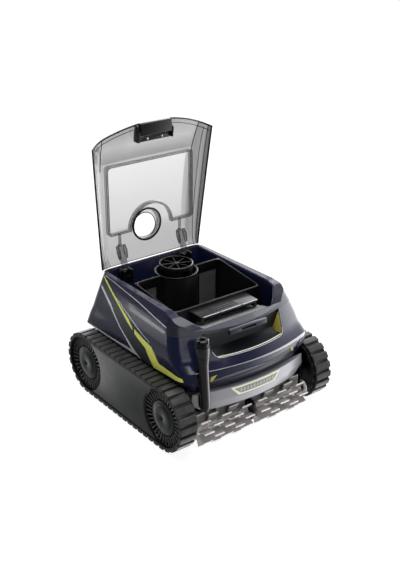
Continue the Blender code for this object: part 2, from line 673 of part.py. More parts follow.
def build_tracks():
    for hand, side in ((-1, "left"), (1, "right")):
        sided(belt, "track_belt_" + side, RUBBER, hand)
        sided(side_cover, "side_cover_" + side, GRAPHITE, hand)
        sided(side_frame, "track_frame_" + side, BLACK, hand)
        for end, y in (("front", -WHEEL_Y), ("rear", WHEEL_Y)):
            place = end + "_" + side
            turn = sided(lambda: turned(wheel(end == "front"), "X", (0, y, WHEEL_Z), 26), "wheel_" + place,
                         GRAPHITE, hand)
            cap = sided(lambda: turned(CAP, "X", (0, y, WHEEL_Z), 24), "hub_cap_" + place, GRAPHITE, hand)
            inner_end = FRAME_X[0] + GAP if end == "front" else 0.1305
            axle = sided(lambda: rod((inner_end, y, WHEEL_Z), (0.2050, y, WHEEL_Z), AXLE_RADIUS, 20),
                         ("axle_" if end == "front" else "drive_shaft_") + place, STEEL, hand)
            spin = pivot("wheel_axis_" + place, (0.19 * hand, y, WHEEL_Z))
            hang(spin, turn, cap)
            if end == "rear":
                hang(spin, axle)


# Brush

def brush_half():
    """One half of the brush: a core with paddle blades, its shaft end and its gear."""
    blades = 7
    outline = []
    for i in range(blades):
        middle = 360 * i / blades
        for angle, radius in ((-25.0, 0.0130), (-5.0, 0.0130), (-1.6, BRUSH_RADIUS), (1.6, BRUSH_RADIUS),
                              (5.0, 0.0130)):
            outline += arc((BRUSH_Y, BRUSH_Z), radius, middle + angle, middle + angle, 1)[:1]
    item = plate([outline], "X", *BRUSH_X)
    shaft = rod((BRUSH_X[1] - 0.01, BRUSH_Y, BRUSH_Z), (GEAR_X[1], BRUSH_Y, BRUSH_Z), 0.0045, 16)
    gear = rod((GEAR_X[0], BRUSH_Y, BRUSH_Z), (GEAR_X[1], BRUSH_Y, BRUSH_Z), BRUSH_GEAR_RADIUS, 28)
    combine(item, shaft, "UNION")
    return combine(item, gear, "UNION")


def build_brush():
    for hand, side in ((-1, "left"), (1, "right")):
        half = sided(brush_half, "brush_" + side, BLADE, hand)
        hang(pivot("brush_axis_" + side, (0.08 * hand, BRUSH_Y, BRUSH_Z)), half)
    ring = arc((BRUSH_Y, BRUSH_Z), 0.0260, 40, 300, 14)
    arm = [(TUB_FRONT - GAP, 0.0450), (TUB_FRONT - GAP, 0.0780)]
    finish(plate([ring + arm], "X", -0.0070, 0.0070), "brush_centre_support", BLACK)


# Corner post

def build_post():
    along = POST_TOP - POST_BOTTOM
    length = along.length
    r = POST_RADIUS
    tube = [(0.0, 0.0), (r * 0.55, 0.0), (r, 0.012), (r, length - 0.055), (r * 1.18, length - 0.045),
            (r * 1.28, length - 0.032), (r * 1.28, length - 0.016), (r * 0.80, length - 0.016),
            (r * 0.80, length - 0.022), (0.0, length - 0.022)]
    cap = [(0.0, length - 0.0215), (r * 0.76, length - 0.0215), (r * 0.76, length - 0.0155),
           (r * 1.20, length - 0.0155), (r * 1.20, length - 0.002), (r * 1.05, length), (r * 0.62, length),
           (r * 0.62, length - 0.009), (0.0, length - 0.009)]
    turn = Matrix.Translation(POST_BOTTOM) @ along.to_track_quat("Z", "Y").to_matrix().to_4x4()
    for name, profile, look in (("connector_post", tube, GUNMETAL), ("post_cap", cap, BLACK)):
        item = turned(profile, "Z", (0, 0, 0), 24)
        item.data.transform(turn)
        finish(item, name, look)


# Lid, modelled where it stands open: u runs up from the hinge axis, v runs back from it

def lid_half_width(u):
    return 0.140 + 0.0858 * (u - LID_START)


def lid_height(x, u):
    """How far the lid's outer face stands behind the hinge axis."""
    crown = [(LID_START, 0.0175), (0.030, 0.0345), (0.060, 0.0425), (0.120, 0.0440), (0.200, 0.0390),
             (0.260, 0.0290), (0.310, 0.0105), (0.3505, -0.0110)]
    edge = 0.0135 - 0.0750 * (u - LID_START)
    middle = crown[-1][1]
    for (u0, v0), (u1, v1) in zip(crown, crown[1:]):
        if u <= u1:
            middle = v0 + (v1 - v0) * (u - u0) / (u1 - u0)
            break
    share = min(abs(x) / lid_half_width(u), 1.0)
    fall = 0.13 * (share / 0.78) ** 2 if share < 0.78 else 0.13 + 0.87 * ((share - 0.78) / 0.22) ** 1.4
    return edge + (middle - edge) * (1 - fall)


def lid_point(x, u, v):
    return x, HINGE_Y + v, HINGE_Z + u


def lid_shell():
    """The lid as an open surface, given its wall by Solidify and its outlet hole by a Boolean."""
    across = [0, 0.2, 0.4, 0.6, 0.78, 0.85, 0.92, 1.0]
    across = [-s for s in reversed(across[1:])] + across
    rows = 9
    shape = bmesh.new()
    grid = []
    for row in range(rows + 1):
        line = []
        for share in across:
            width = lid_half_width(LID_END) * abs(share)
            end = LID_END - LID_BOW * width * width
            u = LID_START + (end - LID_START) * row / rows
            x = share * lid_half_width(u)
            line.append(shape.verts.new(lid_point(x, u, lid_height(x, u))))
        grid.append(line)
    for low, high in zip(grid, grid[1:]):
        for i in range(len(across) - 1):
            shape.faces.new((low[i], high[i], high[i + 1], low[i + 1]))
    item = from_bmesh(shape)
    wall = item.modifiers.new("wall", "SOLIDIFY")
    wall.thickness = THIN
    wall.offset = -1.0
    combine(item, rod(lid_point(0, COLLAR_U - 0.008, 0.0), lid_point(0, COLLAR_U - 0.008, 0.1), 0.032, 32))
    combine(item, block(lid_point(-0.0505, 0.3170, -0.05), lid_point(0.0505, 0.36, 0.05)))
    return item


def build_lid():
    shell = finish(lid_shell(), "lid_shell", SMOKE)
    wide, low_u, high_u, notch = 0.121, 0.0872, 0.2557, 0.057

    def pane(inset):
        item = block(lid_point(-wide + inset, low_u + inset, 0.0095 - inset),
                     lid_point(wide - inset, high_u - inset, 0.020 + inset))
        round_duct = rod(lid_point(0, COLLAR_U, -0.02), lid_point(0, COLLAR_U, 0.05), notch + inset, 32)
        return combine(item, round_duct)

    seal = combine(pane(0.0), pane(0.002))
    finish(seal, "lid_seal_frame", SMOKE)
    ring = [(0.0372, 0.0290), (0.0372, 0.0350), (0.0410, 0.0350), (0.0410, 0.0290)]
    collar = turned(ring, "Z", (0, 0, 0), 36)
    collar.data.transform(Matrix.Translation(lid_point(0, COLLAR_U, 0)) @ Matrix.Rotation(-pi / 2, 4, "X"))
    finish(collar, "lid_collar", SMOKE)
    hinge = pivot("lid_hinge_axis", (0, HINGE_Y, HINGE_Z))
    hang(hinge, shell, seal, collar)
    build_hinges(hinge)
    build_latch(hinge)


def build_hinges(hinge):
    for hand, side in ((-1, "left"), (1, "right")):
        middle = HINGE_X * hand
        eye = arc((HINGE_Y, HINGE_Z), 0.0050, 180, 340, 8)
        leaf = [(HINGE_Y + 0.0050, HINGE_Z + 0.012), (HINGE_Y + 0.0130, HINGE_Z + 0.026),
                (HINGE_Y + 0.0200, HINGE_Z + 0.060), (HINGE_Y + 0.0080, HINGE_Z + 0.060),
                (HINGE_Y - 0.0050, HINGE_Z + 0.020)]
        bore = list(reversed(arc((HINGE_Y, HINGE_Z), PIN_RADIUS + GAP, 0, 330, 11)))
        arm = plate([eye + leaf, bore], "X", middle - 0.0060, middle + 0.0060)
        hang(hinge, finish(arm, "hinge_arm_" + side, SMOKE))
        mount = block((middle - 0.0130, 0.1500, 0.2480), (middle + 0.0130, 0.1726, 0.2830), 0.0008)
        combine(mount, block((middle - 0.0066, 0.1400, 0.2680), (middle + 0.0066, 0.1800, 0.3000)))
        pin_bore = rod((middle - 0.03, HINGE_Y, HINGE_Z), (middle + 0.03, HINGE_Y, HINGE_Z),
                       PIN_RADIUS + GAP, 16)
        combine(mount, pin_bore)
        finish(mount, "hinge_mount_" + side, BLACK)
        pin = rod((middle - 0.0135, HINGE_Y, HINGE_Z), (middle + 0.0135, HINGE_Y, HINGE_Z), PIN_RADIUS, 16)
        finish(pin, "hinge_pin_" + side, STEEL)


def build_latch(hinge):
    """The bracket screwed under the lid's front edge and the lever that hooks over the catch."""
    bracket = block(lid_point(-0.048, 0.3030, -0.0080), lid_point(0.048, 0.3162, 0.0030), 0.0006)
    for hand in (-1, 1):
        ear_low, ear_high = sorted((0.0440 * hand, 0.0480 * hand))
        ear = block(lid_point(ear_low, 0.3140, LATCH_V - 0.0050),
                    lid_point(ear_high, 0.3290, LATCH_V + 0.0080))
        combine(bracket, ear, "UNION")
        ear_bore = rod(lid_point(0.040 * hand, LATCH_U, LATCH_V), lid_point(0.052 * hand, LATCH_U, LATCH_V),
                       0.0023, 12)
        combine(bracket, ear_bore)
    finish(bracket, "latch_bracket", BLACK)
    hang(hinge, bracket)
    for hand, side in ((-1, "left"), (1, "right")):
        screw = rod(lid_point(0.020 * hand, 0.3095, -0.0098), lid_point(0.020 * hand, 0.3095, -0.0083),
                    0.0026, 12)
        hang(hinge, finish(screw, "latch_screw_" + side, STEEL))
    lever = block(lid_point(-0.0432, 0.3190, LATCH_V - 0.0055), lid_point(0.0432, 0.3480, LATCH_V + 0.0055),
                  0.0012)
    spindle = rod(lid_point(-0.0478, LATCH_U, LATCH_V), lid_point(0.0478, LATCH_U, LATCH_V), 0.0020, 12)
    combine(lever, spindle, "UNION")
    finish(lever, "latch_lever", BLACK)
    hang(pivot("latch_axis", lid_point(0, LATCH_U, LATCH_V), hinge), lever)


def main():
    start()
    build_shells()
    build_trim()
    build_grip()
    build_tub()
    build_liner()
    build_pump()
    build_power()
    build_basket()
    build_tracks()
    build_brush()
    build_post()
    build_lid()


main()
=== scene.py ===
"""Looks of the tracked pool cleaner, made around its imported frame. Metres, +Z up, front at -Y."""

import json
from math import cos, pi, radians, sin, sqrt

import bmesh
import bpy
from mathutils import Matrix, Vector

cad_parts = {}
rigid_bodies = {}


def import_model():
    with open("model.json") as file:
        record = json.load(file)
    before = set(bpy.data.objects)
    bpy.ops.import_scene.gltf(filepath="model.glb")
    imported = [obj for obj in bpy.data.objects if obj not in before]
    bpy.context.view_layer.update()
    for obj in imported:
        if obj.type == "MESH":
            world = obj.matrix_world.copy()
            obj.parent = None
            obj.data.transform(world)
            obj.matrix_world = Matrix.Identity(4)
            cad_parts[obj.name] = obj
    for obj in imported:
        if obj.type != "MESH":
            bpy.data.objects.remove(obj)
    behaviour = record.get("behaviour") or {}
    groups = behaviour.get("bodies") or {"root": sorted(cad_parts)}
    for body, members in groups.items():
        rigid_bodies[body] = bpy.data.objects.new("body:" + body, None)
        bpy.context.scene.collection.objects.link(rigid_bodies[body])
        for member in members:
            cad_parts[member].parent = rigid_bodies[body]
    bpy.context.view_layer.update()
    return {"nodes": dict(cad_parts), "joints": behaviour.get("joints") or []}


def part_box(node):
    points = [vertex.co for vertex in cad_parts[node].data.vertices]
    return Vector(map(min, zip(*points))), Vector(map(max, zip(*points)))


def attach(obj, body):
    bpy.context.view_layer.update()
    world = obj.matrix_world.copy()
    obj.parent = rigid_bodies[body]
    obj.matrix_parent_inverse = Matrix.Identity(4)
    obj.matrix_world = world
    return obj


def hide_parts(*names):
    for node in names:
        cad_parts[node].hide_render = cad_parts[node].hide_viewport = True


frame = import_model()

# Sizes read from the frame
BELT_LOW, BELT_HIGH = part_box("track_belt_right")
TRACK_IN, TRACK_OUT = BELT_LOW.x, BELT_HIGH.x
WHEEL_Z = (BELT_LOW.z + BELT_HIGH.z) / 2
CROWN_RADIUS = (BELT_HIGH.z - BELT_LOW.z) / 2
WHEEL_Y = BELT_HIGH.y - CROWN_RADIUS
JOINTS = {joint["name"]: joint for joint in frame["joints"]}
HINGE_Y, HINGE_Z = JOINTS["lid_hinge"]["pos_m"][1:]
BRUSH_Y, BRUSH_Z = JOINTS["brush_right_spin"]["pos_m"][1:]
DUCT_Y = JOINTS["impeller_spin"]["pos_m"][1]
BASKET_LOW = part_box("canister_basket")[0]
DUCT_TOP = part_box("outlet_duct")[1].z

# Design sizes that the frame doesn't state
GAP = 0.0003                # left open along the painted skin's joints
WALL = 0.003                # thickness of the painted skin
SPLIT_Y = -0.112            # joint between the body shell and the front pieces
BEZEL_Z = 0.2468            # joint between the bezel and the fascia
SLOT_TOP = 0.1470           # where the fascia steps back above the bumper
MOUTH_LOW, MOUTH_LOW_HALF = 0.1995, 0.0945
MOUTH_TOP, MOUTH_TOP_HALF = 0.2700, 0.1140
POCKET_TOP = 0.2440
CREASE_Z = 0.1822           # top of the silver band under the front's crease
BADGE_Z = 0.1178            # middle of the badge
BADGE_STEP = 0.009          # from one raised bar to the next
BAY_X, BAY_FRONT, BAY_REAR = 0.1338, -0.1523, 0.1757
BAY_CORNER = (0.0950, -0.1120)
BELT_INNER = 0.0657         # radius of the belt's inside round a wheel
LUGS, LUG_GAP = 50, 0.0042
FINS = 34
SEGMENTS, PADDLES = 5, 9    # of one brush half, and round one segment
BRUSH_START, BRUSH_END = 0.0085, 0.1500
BRUSH_CORE, BRUSH_TIP = 0.0130, 0.0375
TOWER_RADIUS = 0.0505
BASKET_REAR = 0.0750        # the basket's back wall, which the tower breaks through
RIM_X, RIM_Y = 0.1203, -0.0778
RIM_LOW, RIM_HIGH = 0.2700, 0.2865
RIM_TOP = 0.2869            # top of the tower's ring
DUCT_OUTER = 0.0395
POST_TOP = Vector((-0.1355, -0.1975, 0.2600))
POST_BOTTOM = Vector((-0.1335, -0.2075, 0.0900))
POST_RADIUS = 0.0112
LID_START, LID_END, LID_BOW = 0.0090, 0.3505, 1.49
LID_FOOT_HALF, LID_FLARE = 0.140, 0.0858
COLLAR_U = 0.0875
HOLE_U, HOLE_RADIUS = COLLAR_U - 0.008, 0.032
SHOULDER = 0.78             # share of the lid's half width where its sides begin to fall
SEAL_NOTCH = 0.057          # radius of the seal frame's notch round the collar
CLIP_X = 0.0865
LATCH_HALF, LATCH_U = 0.0438, 0.3170

# Body levels: height, half width at the back, flare towards the front, back, front, bow of the front
LEVELS = [
    (0.2850, 0.1420, 0.030, 0.1820, -0.1580, 1.50),
    (0.2660, 0.1490, 0.046, 0.1855, -0.1660, 1.50),
    (0.2500, 0.1535, 0.050, 0.1890, -0.1755, 1.50),
    (0.2200, 0.1615, 0.050, 0.1960, -0.1935, 1.50),
    (0.2000, 0.1660, 0.040, 0.2010, -0.2060, 1.50),
    (0.1815, 0.1720, 0.018, 0.2060, -0.2189, 1.10),
    (0.1560, 0.1780, 0.000, 0.2120, -0.2165, 1.05),
]
FOOT_LEVELS = [
    (0.1535, 0.1685, 0.000, 0.2000, -0.2155, 1.05),
    (SLOT_TOP + 0.0002, 0.1685, 0.000, 0.2000, -0.2140, 1.05),
    (SLOT_TOP - 0.0002, 0.1610, 0.000, 0.2000, -0.2060, 1.05),
    (0.1310, 0.1610, 0.000, 0.2000, -0.2060, 1.05),
]
BUMPER_LEVELS = [
    (0.1300, 0.1655, 0.000, 0.1000, -0.2180, 1.05),
    (0.1063, 0.1655, 0.000, 0.1000, -0.2202, 1.05),
    (0.0870, 0.1400, 0.000, 0.1000, -0.2156, 1.05),
]
FRONT_LEVELS = LEVELS + FOOT_LEVELS
# The slope that cuts the front of the rim down to the handle: length and height
NOSE = [(-0.085, 0.2856), (-0.115, 0.2790), (-0.138, 0.2650), (-0.150, 0.2545), (-0.172, 0.2510),
        (-0.250, 0.2250)]


# Materials

def shader_of(name):
    """A new material, its node tree and its Principled shader."""
    material = bpy.data.materials.new(name)
    material.use_nodes = True
    return material, material.node_tree, material.node_tree.nodes["Principled BSDF"]


def noise(tree, scale, detail=3.0, stretch=(1, 1, 1)):
    """Noise on the piece's own coordinates."""
    where = tree.nodes.new("ShaderNodeTexCoord")
    scaled = tree.nodes.new("ShaderNodeMapping")
    scaled.inputs["Scale"].default_value = stretch
    tree.links.new(where.outputs["Object"], scaled.inputs["Vector"])
    texture = tree.nodes.new("ShaderNodeTexNoise")
    texture.inputs["Scale"].default_value = scale
    texture.inputs["Detail"].default_value = detail
    tree.links.new(scaled.outputs["Vector"], texture.inputs["Vector"])
    return texture


def between(tree, texture, low, high):
    """A colour that runs from low to high with a texture."""
    ramp = tree.nodes.new("ShaderNodeValToRGB")
    ramp.color_ramp.elements[0].position = 0.35
    ramp.color_ramp.elements[1].position = 0.65
    ramp.color_ramp.elements[0].color = (*low, 1)
    ramp.color_ramp.elements[1].color = (*high, 1)
    tree.links.new(texture.outputs["Fac"], ramp.inputs["Fac"])
    return ramp.outputs["Color"]


def shades(tree, value, steps, blue=1.0):
    """A grey that follows a value through (position, shade) steps."""
    node = tree.nodes.new("ShaderNodeValToRGB")
    ramp = node.color_ramp
    ramp.elements[0].position = steps[0][0]
    ramp.elements[1].position = steps[-1][0]
    for position, _ in steps[1:-1]:
        ramp.elements.new(position)
    for element, (_, shade) in zip(ramp.elements, steps):
        element.color = (shade, shade, shade * blue, 1)
    tree.links.new(value, node.inputs["Fac"])
    return node.outputs["Color"]


def roughness_from(tree, shader, texture, low, high):
    """Roughness that wanders between two values."""
    spread = tree.nodes.new("ShaderNodeMapRange")
    spread.inputs["To Min"].default_value = low
    spread.inputs["To Max"].default_value = high
    tree.links.new(texture.outputs["Fac"], spread.inputs["Value"])
    tree.links.new(spread.outputs["Result"], shader.inputs["Roughness"])


def grain(tree, shader, texture, strength, depth):
    """Moulded or sprayed texture as a bump."""
    bump = tree.nodes.new("ShaderNodeBump")
    bump.inputs["Strength"].default_value = strength
    bump.inputs["Distance"].default_value = depth
    tree.links.new(texture.outputs["Fac"], bump.inputs["Height"])
    tree.links.new(bump.outputs["Normal"], shader.inputs["Normal"])


def tinted(colour, factor):
    """A colour made lighter or darker."""
    return tuple(min(1.0, channel * factor) for channel in colour)


def moulded(name, colour, roughness, texture_scale=900.0, texture_depth=0.00012, mottle=0.12):
    """Injection-moulded plastic: faint flow mottling and a fine spark-eroded grain."""
    material, tree, shader = shader_of(name)
    flow = noise(tree, 22.0, 4.0)
    tree.links.new(between(tree, flow, tinted(colour, 1 - mottle), tinted(colour, 1 + mottle)),
                   shader.inputs["Base Color"])
    roughness_from(tree, shader, noise(tree, 60.0), roughness - 0.06, roughness + 0.06)
    grain(tree, shader, noise(tree, texture_scale, 2.0), 0.35, texture_depth)
    return material


def painted(name, colour, metallic, roughness, coat):
    """Metallic paint: flakes in the colour under a clear coat with slight orange peel."""
    material, tree, shader = shader_of(name)
    flakes = noise(tree, 1800.0, 1.0)
    tree.links.new(between(tree, flakes, tinted(colour, 0.92), tinted(colour, 1.08)),
                   shader.inputs["Base Color"])
    shader.inputs["Metallic"].default_value = metallic
    roughness_from(tree, shader, noise(tree, 40.0), roughness - 0.03, roughness + 0.03)
    shader.inputs["Coat Weight"].default_value = coat
    shader.inputs["Coat Roughness"].default_value = 0.04
    grain(tree, shader, noise(tree, 160.0, 1.0), 0.03, 0.0001)
    return material


def see_through(name, colour, alpha, roughness=0.06):
    """Tinted clear plastic with faint flow lines."""
    material, tree, shader = shader_of(name)
    flow = noise(tree, 9.0, 2.0, (1, 1, 0.4))
    tree.links.new(between(tree, flow, tinted(colour, 0.92), tinted(colour, 1.08)),
                   shader.inputs["Base Color"])
    roughness_from(tree, shader, noise(tree, 30.0), roughness, roughness + 0.05)
    shader.inputs["Alpha"].default_value = alpha
    shader.inputs["Specular IOR Level"].default_value = 0.5
    grain(tree, shader, noise(tree, 14.0, 1.0), 0.05, 0.0004)
    return material


def rubber(name, colour):
    """Dull rubber, dusty in patches."""
    material, tree, shader = shader_of(name)
    dust = noise(tree, 55.0, 6.0)
    tree.links.new(between(tree, dust, tinted(colour, 0.75), tinted(colour, 1.35)),
                   shader.inputs["Base Color"])
    roughness_from(tree, shader, noise(tree, 90.0), 0.34, 0.50)
    grain(tree, shader, noise(tree, 700.0, 3.0), 0.4, 0.0002)
    return material


def metal(name, colour, roughness, stretch):
    """Bare metal with fine drawn lines along one direction."""
    material, tree, shader = shader_of(name)
    lines = noise(tree, 500.0, 2.0, stretch)
    tree.links.new(between(tree, lines, tinted(colour, 0.85), tinted(colour, 1.12)),
                   shader.inputs["Base Color"])
    shader.inputs["Metallic"].default_value = 0.9
    roughness_from(tree, shader, lines, roughness - 0.05, roughness + 0.08)
    return material


def sum_of(tree, operation, first, second, third=0.0):
    """One step of arithmetic on numbers or sockets."""
    node = tree.nodes.new("ShaderNodeMath")
    node.operation = operation
    for socket, value in zip(node.inputs, (first, second, third)):
        if isinstance(value, (int, float)):
            socket.default_value = value
        else:
            tree.links.new(value, socket)
    return node.outputs["Value"]


def smoke_lid():
    """Smoke tint whose opacity is painted shade: thin in the middle pane, it deepens in bands towards the
    sides, the bottom and the top.
    """
    material, tree, shader = shader_of("smoke_lid")
    flow = noise(tree, 7.0, 2.0, (1, 1, 0.35))
    tree.links.new(between(tree, flow, (0.105, 0.105, 0.108), (0.135, 0.135, 0.139)),
                   shader.inputs["Base Color"])
    roughness_from(tree, shader, noise(tree, 30.0), 0.05, 0.10)
    grain(tree, shader, noise(tree, 10.0, 0.0), 0.02, 0.0002)
    where = tree.nodes.new("ShaderNodeTexCoord")
    axes = tree.nodes.new("ShaderNodeSeparateXYZ")
    tree.links.new(where.outputs["Object"], axes.inputs["Vector"])
    foot = LID_FOOT_HALF - LID_FLARE * (HINGE_Z + LID_START)
    half = sum_of(tree, "MULTIPLY_ADD", axes.outputs["Z"], LID_FLARE, foot)
    share = sum_of(tree, "DIVIDE", sum_of(tree, "ABSOLUTE", axes.outputs["X"], 0.0), half)
    height = sum_of(tree, "MULTIPLY_ADD", axes.outputs["Z"], 1 / 0.36, -HINGE_Z / 0.36)
    # Painted shade: opacity raised in bands towards the sides, standing for the darker look of the lid's
    # slanted sides.
    sides = shades(tree, share, [(0.0, 0.0), (0.70, 0.04), (0.735, 0.30), (0.80, 0.34), (0.82, 0.46),
                                 (0.93, 0.42), (0.955, 0.60), (1.0, 0.66)])
    # Painted shade: opacity raised towards the bottom and in bands higher up.
    rise = shades(tree, height, [(0.0, 0.42), (0.20, 0.36), (0.26, 0.28), (0.50, 0.22), (0.69, 0.17),
                                 (0.72, 0.50), (0.82, 0.36), (0.93, 0.46), (1.0, 0.60)])
    side_shade_lifted = sum_of(tree, "ADD", sides, 0.08)
    tree.links.new(sum_of(tree, "MAXIMUM", side_shade_lifted, rise), shader.inputs["Alpha"])
    return material


NAVY = painted("navy_paint", (0.0085, 0.0105, 0.034), 0.0, 0.20, 0.25)
BAY_NAVY = painted("bay_navy_paint", (0.006, 0.009, 0.034), 0.0, 0.28, 0.2)
SILVER = painted("silver_paint", (0.42, 0.42, 0.45), 0.35, 0.36, 0.3)
BEZEL = painted("bezel_paint", (0.026, 0.029, 0.044), 0.20, 0.28, 0.2)
# Light paint for thin strips along edges and creases: painted highlight.
EDGE_HIGHLIGHT = painted("edge_highlight_paint", (0.55, 0.55, 0.60), 0.15, 0.28, 0.6)
LENS = painted("lens_paint", (0.11, 0.115, 0.155), 0.10, 0.25, 0.5)
BAND = moulded("graphite_band", (0.020, 0.022, 0.027), 0.34, 500.0, 0.0002)
LIME = moulded("lime_inlay", (0.72, 0.76, 0.13), 0.34, 700.0, 0.00005, 0.04)
PALE = moulded("pale_yellow_rim", (0.94, 0.95, 0.72), 0.34, 700.0, 0.00005, 0.03)
PLATE = moulded("badge_grey", (0.33, 0.33, 0.32), 0.40, 600.0, 0.0002)
BAR = moulded("badge_bars", (0.55, 0.55, 0.52), 0.30, 700.0, 0.00005, 0.04)
OLIVE = moulded("olive_cheek", (0.42, 0.38, 0.075), 0.38)
BLACK = moulded("black_satin", (0.004, 0.004, 0.0045), 0.30)
BLACK_RIM = moulded("black_rim", (0.010, 0.010, 0.010), 0.26, 700.0, 0.00005)
POCKET = moulded("pocket_graphite", (0.007, 0.009, 0.013), 0.32)
FLOOR_GREY = moulded("shelf_grey", (0.30, 0.305, 0.305), 0.45)
HANDLE = moulded("handle_plate_plastic", (0.020, 0.020, 0.021), 0.30, 700.0, 0.00003)
GRAPHITE = moulded("graphite_plastic", (0.038, 0.041, 0.040), 0.36, 800.0, 0.0001)
HUB = moulded("hub_plastic", (0.022, 0.024, 0.0235), 0.30, 800.0, 0.00006)
# Lighter grey than the wheel plastic: painted highlight on the fins.
FIN_HIGHLIGHT = moulded("fin_plastic_painted_highlight", (0.080, 0.084, 0.084), 0.26, 800.0, 0.00004)
WHEEL = moulded("wheel_plastic", (0.006, 0.006, 0.006), 0.30, 800.0, 0.00004)
SMOKE = smoke_lid()
RUBBER = rubber("belt_rubber", (0.030, 0.031, 0.030))
# The same rubber made darker for the band between the lugs: painted shade in the gaps.
GROOVE_SHADE_RUBBER = rubber("belt_rubber_painted_groove_shade", (0.006, 0.006, 0.006))
SMOKE_DEEP = see_through("smoke_ribs", (0.12, 0.12, 0.125), 0.42)
SMOKE_EDGE = see_through("smoke_edge", (0.008, 0.008, 0.009), 0.96)
CLIP = see_through("smoke_clip", (0.075, 0.075, 0.078), 0.42)
BLADE = see_through("blade_plastic", (0.44, 0.41, 0.40), 0.86, 0.16)
# Near-white strips along the paddles' tips: painted highlight on their top edges.
BLADE_TIP_HIGHLIGHT = see_through("blade_tip_painted_highlight", (0.95, 0.94, 0.93), 0.97, 0.18)
BLADE_CORE = see_through("blade_core", (0.80, 0.77, 0.75), 0.97, 0.22)
WIRE = moulded("mesh_thread", (0.16, 0.16, 0.16), 0.5)
VEIL = see_through("mesh_cloth", (0.17, 0.17, 0.17), 0.80, 0.45)
POST = painted("post_gunmetal", (0.105, 0.100, 0.098), 0.85, 0.20, 0.2)
STEEL = metal("steel", (0.60, 0.60, 0.61), 0.26, (0.05, 1, 1))
BLUE = moulded("battery_case", (0.03, 0.10, 0.30), 0.45)


# Mesh helpers

def from_bmesh(shape, name="shape"):
    """The shape as an object in the scene."""
    mesh = bpy.data.meshes.new(name)
    shape.to_mesh(mesh)
    shape.free()
    item = bpy.data.objects.new(name, mesh)
    bpy.context.scene.collection.objects.link(item)
    return item


def baked(item):
    """The item with its modifiers applied."""
    bpy.context.view_layer.update()
    mesh = bpy.data.meshes.new_from_object(item.evaluated_get(bpy.context.evaluated_depsgraph_get()))
    item.modifiers.clear()
    item.data = mesh
    return item


def combine(item, tool, operation="DIFFERENCE"):
    """A Boolean of a tool on an item, applied at once; the tool is used up."""
    change = item.modifiers.new("boolean", "BOOLEAN")
    change.operation = operation
    change.solver = "EXACT"
    change.object = tool
    baked(item)
    bpy.data.objects.remove(tool)
    return item


def outward(item):
    """Merges doubles and turns the faces out."""
    shape = bmesh.new()
    shape.from_mesh(item.data)
    bmesh.ops.remove_doubles(shape, verts=shape.verts, dist=0.000005)
    bmesh.ops.recalc_face_normals(shape, faces=shape.faces)
    shape.to_mesh(item.data)
    shape.free()
    return item


def rounded_edges(item, width, segments=2, angle=40.0):
    """Bevels the edges that are sharper than an angle."""
    change = item.modifiers.new("edges", "BEVEL")
    change.width = width
    change.segments = segments
    change.limit_method = "ANGLE"
    change.angle_limit = radians(angle)
    change.use_clamp_overlap = True
    return baked(item)


def thickened(item, thickness, offset=-1.0):
    """A sheet given a wall."""
    change = item.modifiers.new("wall", "SOLIDIFY")
    change.thickness = thickness
    change.offset = offset
    return baked(item)


def place(item, name, material, body="root", replaces=(), smooth=35.0):
    """Names a finished piece, gives it its material and rides it on its body."""
    item.name = name
    item.data.name = name
    item.data.materials.clear()
    item.data.materials.append(material)
    item.data.shade_smooth()
    item.data.set_sharp_from_angle(angle=radians(smooth))
    if replaces:
        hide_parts(*replaces)
    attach(item, body)
    return item


def block(low, high, edge=0.0, segments=2):
    """A box between two corners, its edges rounded."""
    low, high = Vector(low), Vector(high)
    shape = bmesh.new()
    bmesh.ops.create_cube(shape, size=1.0)
    for vert in shape.verts:
        vert.co = Vector([(low[i] + high[i]) / 2 + vert.co[i] * (high[i] - low[i]) for i in range(3)])
    if edge:
        bmesh.ops.bevel(shape, geom=shape.edges, offset=edge, segments=segments, affect="EDGES",
                        profile=0.5)
    return from_bmesh(shape)


def rod(start, end, radius, sides):
    """A round bar from one point to another."""
    start, end = Vector(start), Vector(end)
    along = end - start
    shape = bmesh.new()
    bmesh.ops.create_cone(shape, cap_ends=True, segments=sides, radius1=radius, radius2=radius,
                          depth=along.length)
    turn = along.to_track_quat("Z", "Y").to_matrix().to_4x4()
    bmesh.ops.transform(shape, matrix=Matrix.Translation((start + end) / 2) @ turn, verts=shape.verts)
    return from_bmesh(shape)


# How a flat outline stands when it is extruded along each axis
STANDING = {
    "X": Matrix(((0, 0, 1), (1, 0, 0), (0, 1, 0))).to_4x4(),
    "Y": Matrix(((1, 0, 0), (0, 0, 1), (0, 1, 0))).to_4x4(),
    "Z": Matrix.Identity(4),
}
# How a profile turned about Z is laid along each axis
LAID = {
    "X": Matrix.Rotation(pi / 2, 4, "Y"),
    "Y": Matrix.Rotation(-pi / 2, 4, "X"),
    "Z": Matrix.Identity(4),
}


def prism(outline, axis, low, high):
    """A flat outline extruded along an axis."""
    shape = bmesh.new()
    ends = [[shape.verts.new((across, up, depth)) for across, up in outline] for depth in (low, high)]
    count = len(outline)
    shape.faces.new(ends[0])
    shape.faces.new(ends[1])
    for i in range(count):
        j = (i + 1) % count
        shape.faces.new((ends[0][i], ends[0][j], ends[1][j], ends[1][i]))
    bmesh.ops.transform(shape, matrix=STANDING[axis], verts=shape.verts)
    bmesh.ops.recalc_face_normals(shape, faces=shape.faces)
    return from_bmesh(shape)


